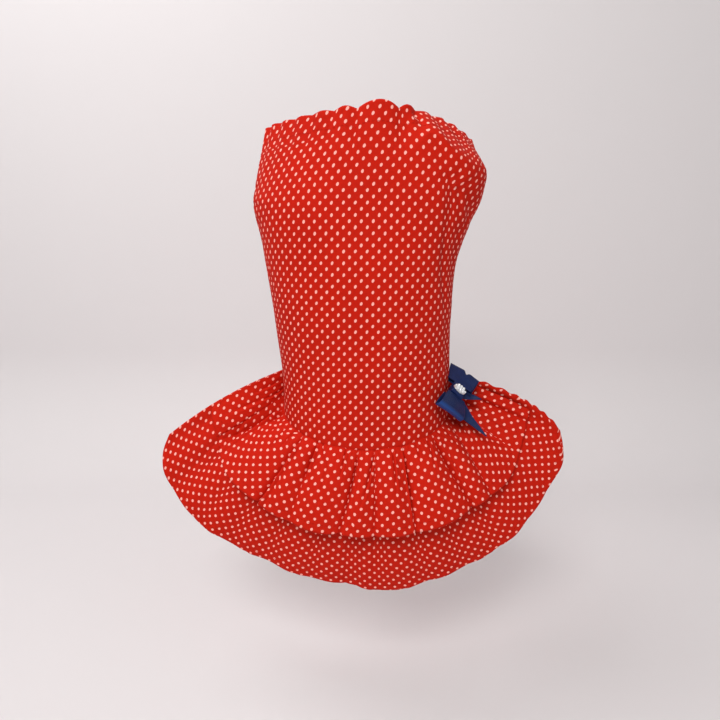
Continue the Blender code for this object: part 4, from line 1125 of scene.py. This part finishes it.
# Rings of a stone's corners: size, height and turn, of its point, its widest ring, its table and its middle
STONE_RINGS = ((0.0, -0.55, 0.0), (1.0, 0.0, 0.0), (0.58, 0.55, 22.5), (0.0, 0.58, 0.0))
BEAD_STEP, BEAD_INSET, BEAD_HEIGHT = 22.5, 0.35, 0.9
BEAD_HALF_LENGTH, BEAD_RADIUS = 0.40 * MM, 0.36 * MM


def satin(name, highlight_at=None):
    """Satin ribbon: fine ribs across its width, a soft gloss and, if a length along it is given, a painted
    highlight there: a paler navy band across the ribbon.
    """
    material, tree, shader = new_material(name, SATIN_ROUGHNESS, SATIN_GLOSS)
    cloth = cloth_place(tree)
    length = part_of(tree, cloth, 0)
    rib = math_node(tree, "SINE", math_node(tree, "MULTIPLY", length, 2 * np.pi / RIB_STEP))
    colour = mixed(tree, noise(tree, cloth, SATIN_PATCHES, SATIN_DETAIL), NAVY, NAVY_LIGHT)
    # Painted highlight: a paler navy band across the ribbon around the given length along it
    if highlight_at is not None:
        aside = math_node(tree, "ABSOLUTE", math_node(tree, "SUBTRACT", length, highlight_at))
        band = math_node(tree, "SUBTRACT", 1.5, math_node(tree, "DIVIDE", aside, PAINTED_HIGHLIGHT_WIDTH))
        band = math_node(tree, "MAXIMUM", math_node(tree, "MINIMUM", band, 1.0), 0.0)
        colour = mixed(tree, band, colour, NAVY_PAINTED_HIGHLIGHT)
    ribbed = bump(tree, rib, RIB_DEPTH, RIB_STRENGTH)
    fill(tree, shader, {"Anisotropic": SATIN_GRAIN, "Base Color": colour, "Normal": ribbed})
    return material


navy_satin = satin("navy_satin")


def bow_frame():
    """The bow's directions: along its loops, across its ribbon, and the way it faces."""
    facing = unit(BOW_FACING)
    along = unit(BOW_ALONG - facing * np.dot(BOW_ALONG, facing))
    return along, np.cross(along, facing), facing


def strip_lengths(points):
    """Lengths of ribbon, along it and across it, in millimetres."""
    return np.stack([column_lengths(points, 0), row_lengths(points, flat=False)], axis=-1)


def ribbon_piece(name, points, node, finish=navy_satin):
    """A strip of ribbon that stands for one of the bow's solids."""
    return cloth_piece(name, points, strip_lengths(points), [node], (finish, finish), RIBBON, "ribbon")


def bow_loop(side, end, across, start, thickness, roof, closing, root, notch):
    """A loop of ribbon: out from the knot, round its blunt end and back, and narrowest at the knot."""
    end, across = np.asarray(end) * MM, unit(np.asarray(across))
    along = end - BOW_MIDDLE
    reach = np.linalg.norm(along)
    along = along / reach
    facing = unit(np.cross(along, across)) * side
    steps, columns = np.linspace(0.0, 1.0, LOOP_STEPS), np.linspace(-0.5, 0.5, LOOP_COLUMNS)
    u, q = np.meshgrid(steps, columns, indexing="ij")
    turn = np.pi * u
    swell = np.sin(turn) ** 0.7
    drawn_in = notch * np.exp(-((q - NOTCH_PLACE) / NOTCH_WIDTH) ** 2)
    out = start * MM + (reach * (1.0 - drawn_in) - start * MM) * np.sin(turn) ** 0.8
    apart = LOOP_FOOT + (thickness / 2 * MM - LOOP_FOOT) * np.sin(turn)
    closed = 1.0 - closing * (q + 0.5) * swell
    height = np.sign(np.cos(turn)) * np.abs(np.cos(turn)) ** LOOP_BLUNT * apart * closed
    height += roof * MM * (1.0 - 2.0 * np.abs(q)) * swell
    width = RIBBON_WIDTH * (root + (1.0 - root) * swell) * q
    return BOW_MIDDLE + out[..., None] * along + width[..., None] * across + height[..., None] * facing


def bow_end(table):
    """A ribbon end: a strip between its two edges, down to its slanted tip."""
    rows = np.linspace(0.0, len(table) - 1.0, END_STEPS * (len(table) - 1) + 1)
    edges = np.stack([smooth_curve(np.arange(len(table)), table[:, k], rows) for k in range(6)], axis=1) * MM
    share = np.linspace(0.0, 1.0, END_COLUMNS)[None, :, None]
    return edges[:, None, :3] * (1 - share) + edges[:, None, 3:] * share


def plate_places():
    """A square grid of places from -1 to 1, along the bow and across it."""
    steps = np.linspace(-1.0, 1.0, PLATE_STEPS)
    return np.meshgrid(steps, steps, indexing="ij")


def bow_knot_top(p, q, size, lift):
    """Top of the knot over a grid of places from -1 to 1: level, rounded down at its rim."""
    along, across, facing = bow_frame()
    offset = p[..., None] * size[0] / 2 * along + q[..., None] * size[1] / 2 * across
    rim = np.maximum(np.abs(p) * size[0] / KNOT_LENGTH, np.abs(q) * size[1] / KNOT_WIDTH)
    return offset, BOW_MIDDLE + offset + (KNOT_TOP - KNOT_ROUND * rim ** 6 + lift)[..., None] * facing


def closed_between(name, top, base, material):
    """A closed piece between two grids, stitched at their rims and turned outwards."""
    rows, columns = top.shape[:2]
    count = rows * columns
    index = np.arange(count).reshape(rows, columns)
    outer = grid_faces(rows, columns)
    rim = np.concatenate((index[0, :], index[1:, -1], index[-1, -2::-1], index[-2:0:-1, 0]))
    after = np.roll(rim, -1)
    edge = np.stack([after, rim, rim + count, after + count], axis=-1)
    vertices = np.concatenate((top.reshape(-1, 3), base.reshape(-1, 3)))
    faces = np.concatenate((outer, outer[:, ::-1] + count, edge))
    a, b, c, d = (vertices[faces[:, k]] for k in range(4))
    volume = np.sum(np.cross(b - a, c - a) * a) + np.sum(np.cross(c - a, d - a) * a)
    along, across, _ = bow_frame()
    lengths = np.stack([vertices @ along, vertices @ across], axis=-1) / MM
    return mesh_piece(name, vertices, faces if volume > 0.0 else faces[:, ::-1], material, lengths=lengths)


def bow_knot():
    """The wrap that ties the bow down: its foot lies on the back panel, its top carries the stones."""
    p, q = plate_places()
    offset, top = bow_knot_top(p, q, (KNOT_LENGTH, KNOT_WIDTH), np.zeros_like(p))
    angle, height = KNOT_FOOT
    near = body(np.array([angle + 1.0, angle - 1.0]), np.array([height, height]))
    tangent = unit(near[0] - near[1])
    foot = body(angle + np.degrees(offset @ tangent / FOOT_RADIUS), height + offset[..., 2] / MM)
    outward = surface_normals(foot)
    outward *= np.sign(np.sum(outward * (top - foot), axis=-1, keepdims=True))
    return top, foot + outward * (WALL / 2)


upper_loop = ribbon_piece("ribbon_loop_upper", bow_loop(*UPPER_LOOP), "bow_loop_upper")
side_end = ribbon_piece("ribbon_end_side", bow_end(SIDE_END), "bow_end_side")
loop_points = bow_loop(*LOWER_LOOP)
fold_length = strip_lengths(loop_points)[LOOP_STEPS // 2, LOOP_COLUMNS // 2, 0]
# The lower loop's satin, with a painted highlight across its folded end
highlighted_satin = satin("navy_satin_fold", fold_length)
lower_loop = ribbon_piece("ribbon_loop_lower", loop_points, "bow_loop_lower", highlighted_satin)
hanging_end = ribbon_piece("ribbon_end_hanging", bow_end(HANGING_END), "bow_end_hanging")
on_dress(closed_between("ribbon_knot", *bow_knot(), navy_satin), ["bow_knot"])


def setting_points():
    """The setting: a low oval plate whose base lies on the knot's top."""
    p, q = plate_places()
    square = np.maximum(np.abs(p), np.abs(q))
    ring = square / np.maximum(np.hypot(p, q), 1e-9)
    dome = SETTING_RIM + (SETTING_HEIGHT - SETTING_RIM) * np.sqrt(np.clip(1 - square ** 4, 0.0, 1.0))
    base = bow_knot_top(p * ring, q * ring, (JEWEL_LENGTH, JEWEL_WIDTH), np.zeros_like(p))[1]
    return base + dome[..., None] * bow_frame()[2], base


def on_setting(places, lift):
    """Points over the setting at places in millimetres along and across the bow."""
    p, q = places[:, 0] * 2 * MM / JEWEL_LENGTH, places[:, 1] * 2 * MM / JEWEL_WIDTH
    return bow_knot_top(p, q, (JEWEL_LENGTH, JEWEL_WIDTH), np.full_like(p, lift))[1]


def cut_stones():
    """Points and faces of the stones: a flat table, a ring of three-sided facets, and a cone below."""
    along, across, facing = bow_frame()
    middles = on_setting(STONES[:, :2], SETTING_HEIGHT + STONE_SINK)
    turn = np.radians(np.arange(0.0, 360.0, 45.0))
    rings = []
    for size, height, shift in STONE_RINGS:
        around = turn + np.radians(shift)
        ring = along * np.cos(around)[:, None] + across * np.sin(around)[:, None]
        radius = STONES[:, 2, None, None] * MM
        rings.append(middles[:, None] + (ring * size + facing * height) * radius)
    points = np.concatenate(rings, axis=1)
    k = np.arange(8)
    after = (k + 1) % 8
    low, girdle, table, top = k, k + 8, k + 16, k + 24
    faces = np.concatenate([
        np.stack([low, after + 8, girdle], axis=1),
        np.stack([girdle, after + 8, table], axis=1),
        np.stack([after + 8, after + 16, table], axis=1),
        np.stack([table, after + 16, top], axis=1),
    ])
    return points.reshape(-1, 3), (faces + 32 * np.arange(len(STONES))[:, None, None]).reshape(-1, 3)


def beads():
    """Points and faces of the small beads that hold the stones, round the setting's rim."""
    along, _, facing = bow_frame()
    turn = np.radians(np.arange(0.0, 360.0, BEAD_STEP))
    half_length, half_width = JEWEL_LENGTH / MM / 2 - BEAD_INSET, JEWEL_WIDTH / MM / 2 - BEAD_INSET
    rim = np.stack([np.cos(turn) * half_length, np.sin(turn) * half_width], axis=1)
    middles = on_setting(rim, SETTING_HEIGHT * BEAD_HEIGHT)
    along, facing = np.broadcast_to(along, middles.shape), np.broadcast_to(facing, middles.shape)
    return small_ovals(middles, along, facing, BEAD_HALF_LENGTH, BEAD_RADIUS)


silver = plain_material("silver", SILVER, SMALL_SHADE, SMALL_PATCHES, SILVER_ROUGHNESS, SILVER_METAL)
stone = plain_material("cut_stone", STONE_BRIGHT, STONE_GREY, STONE_PATCHES, STONE_ROUGHNESS,
                       coat=STONE_COAT)
on_dress(closed_between("jewel_setting", *setting_points(), silver), ["bow_jewel"])
small_parts("jewel_stones", [cut_stones()], stone, smooth=False)
small_parts("jewel_beads", [beads()], silver)
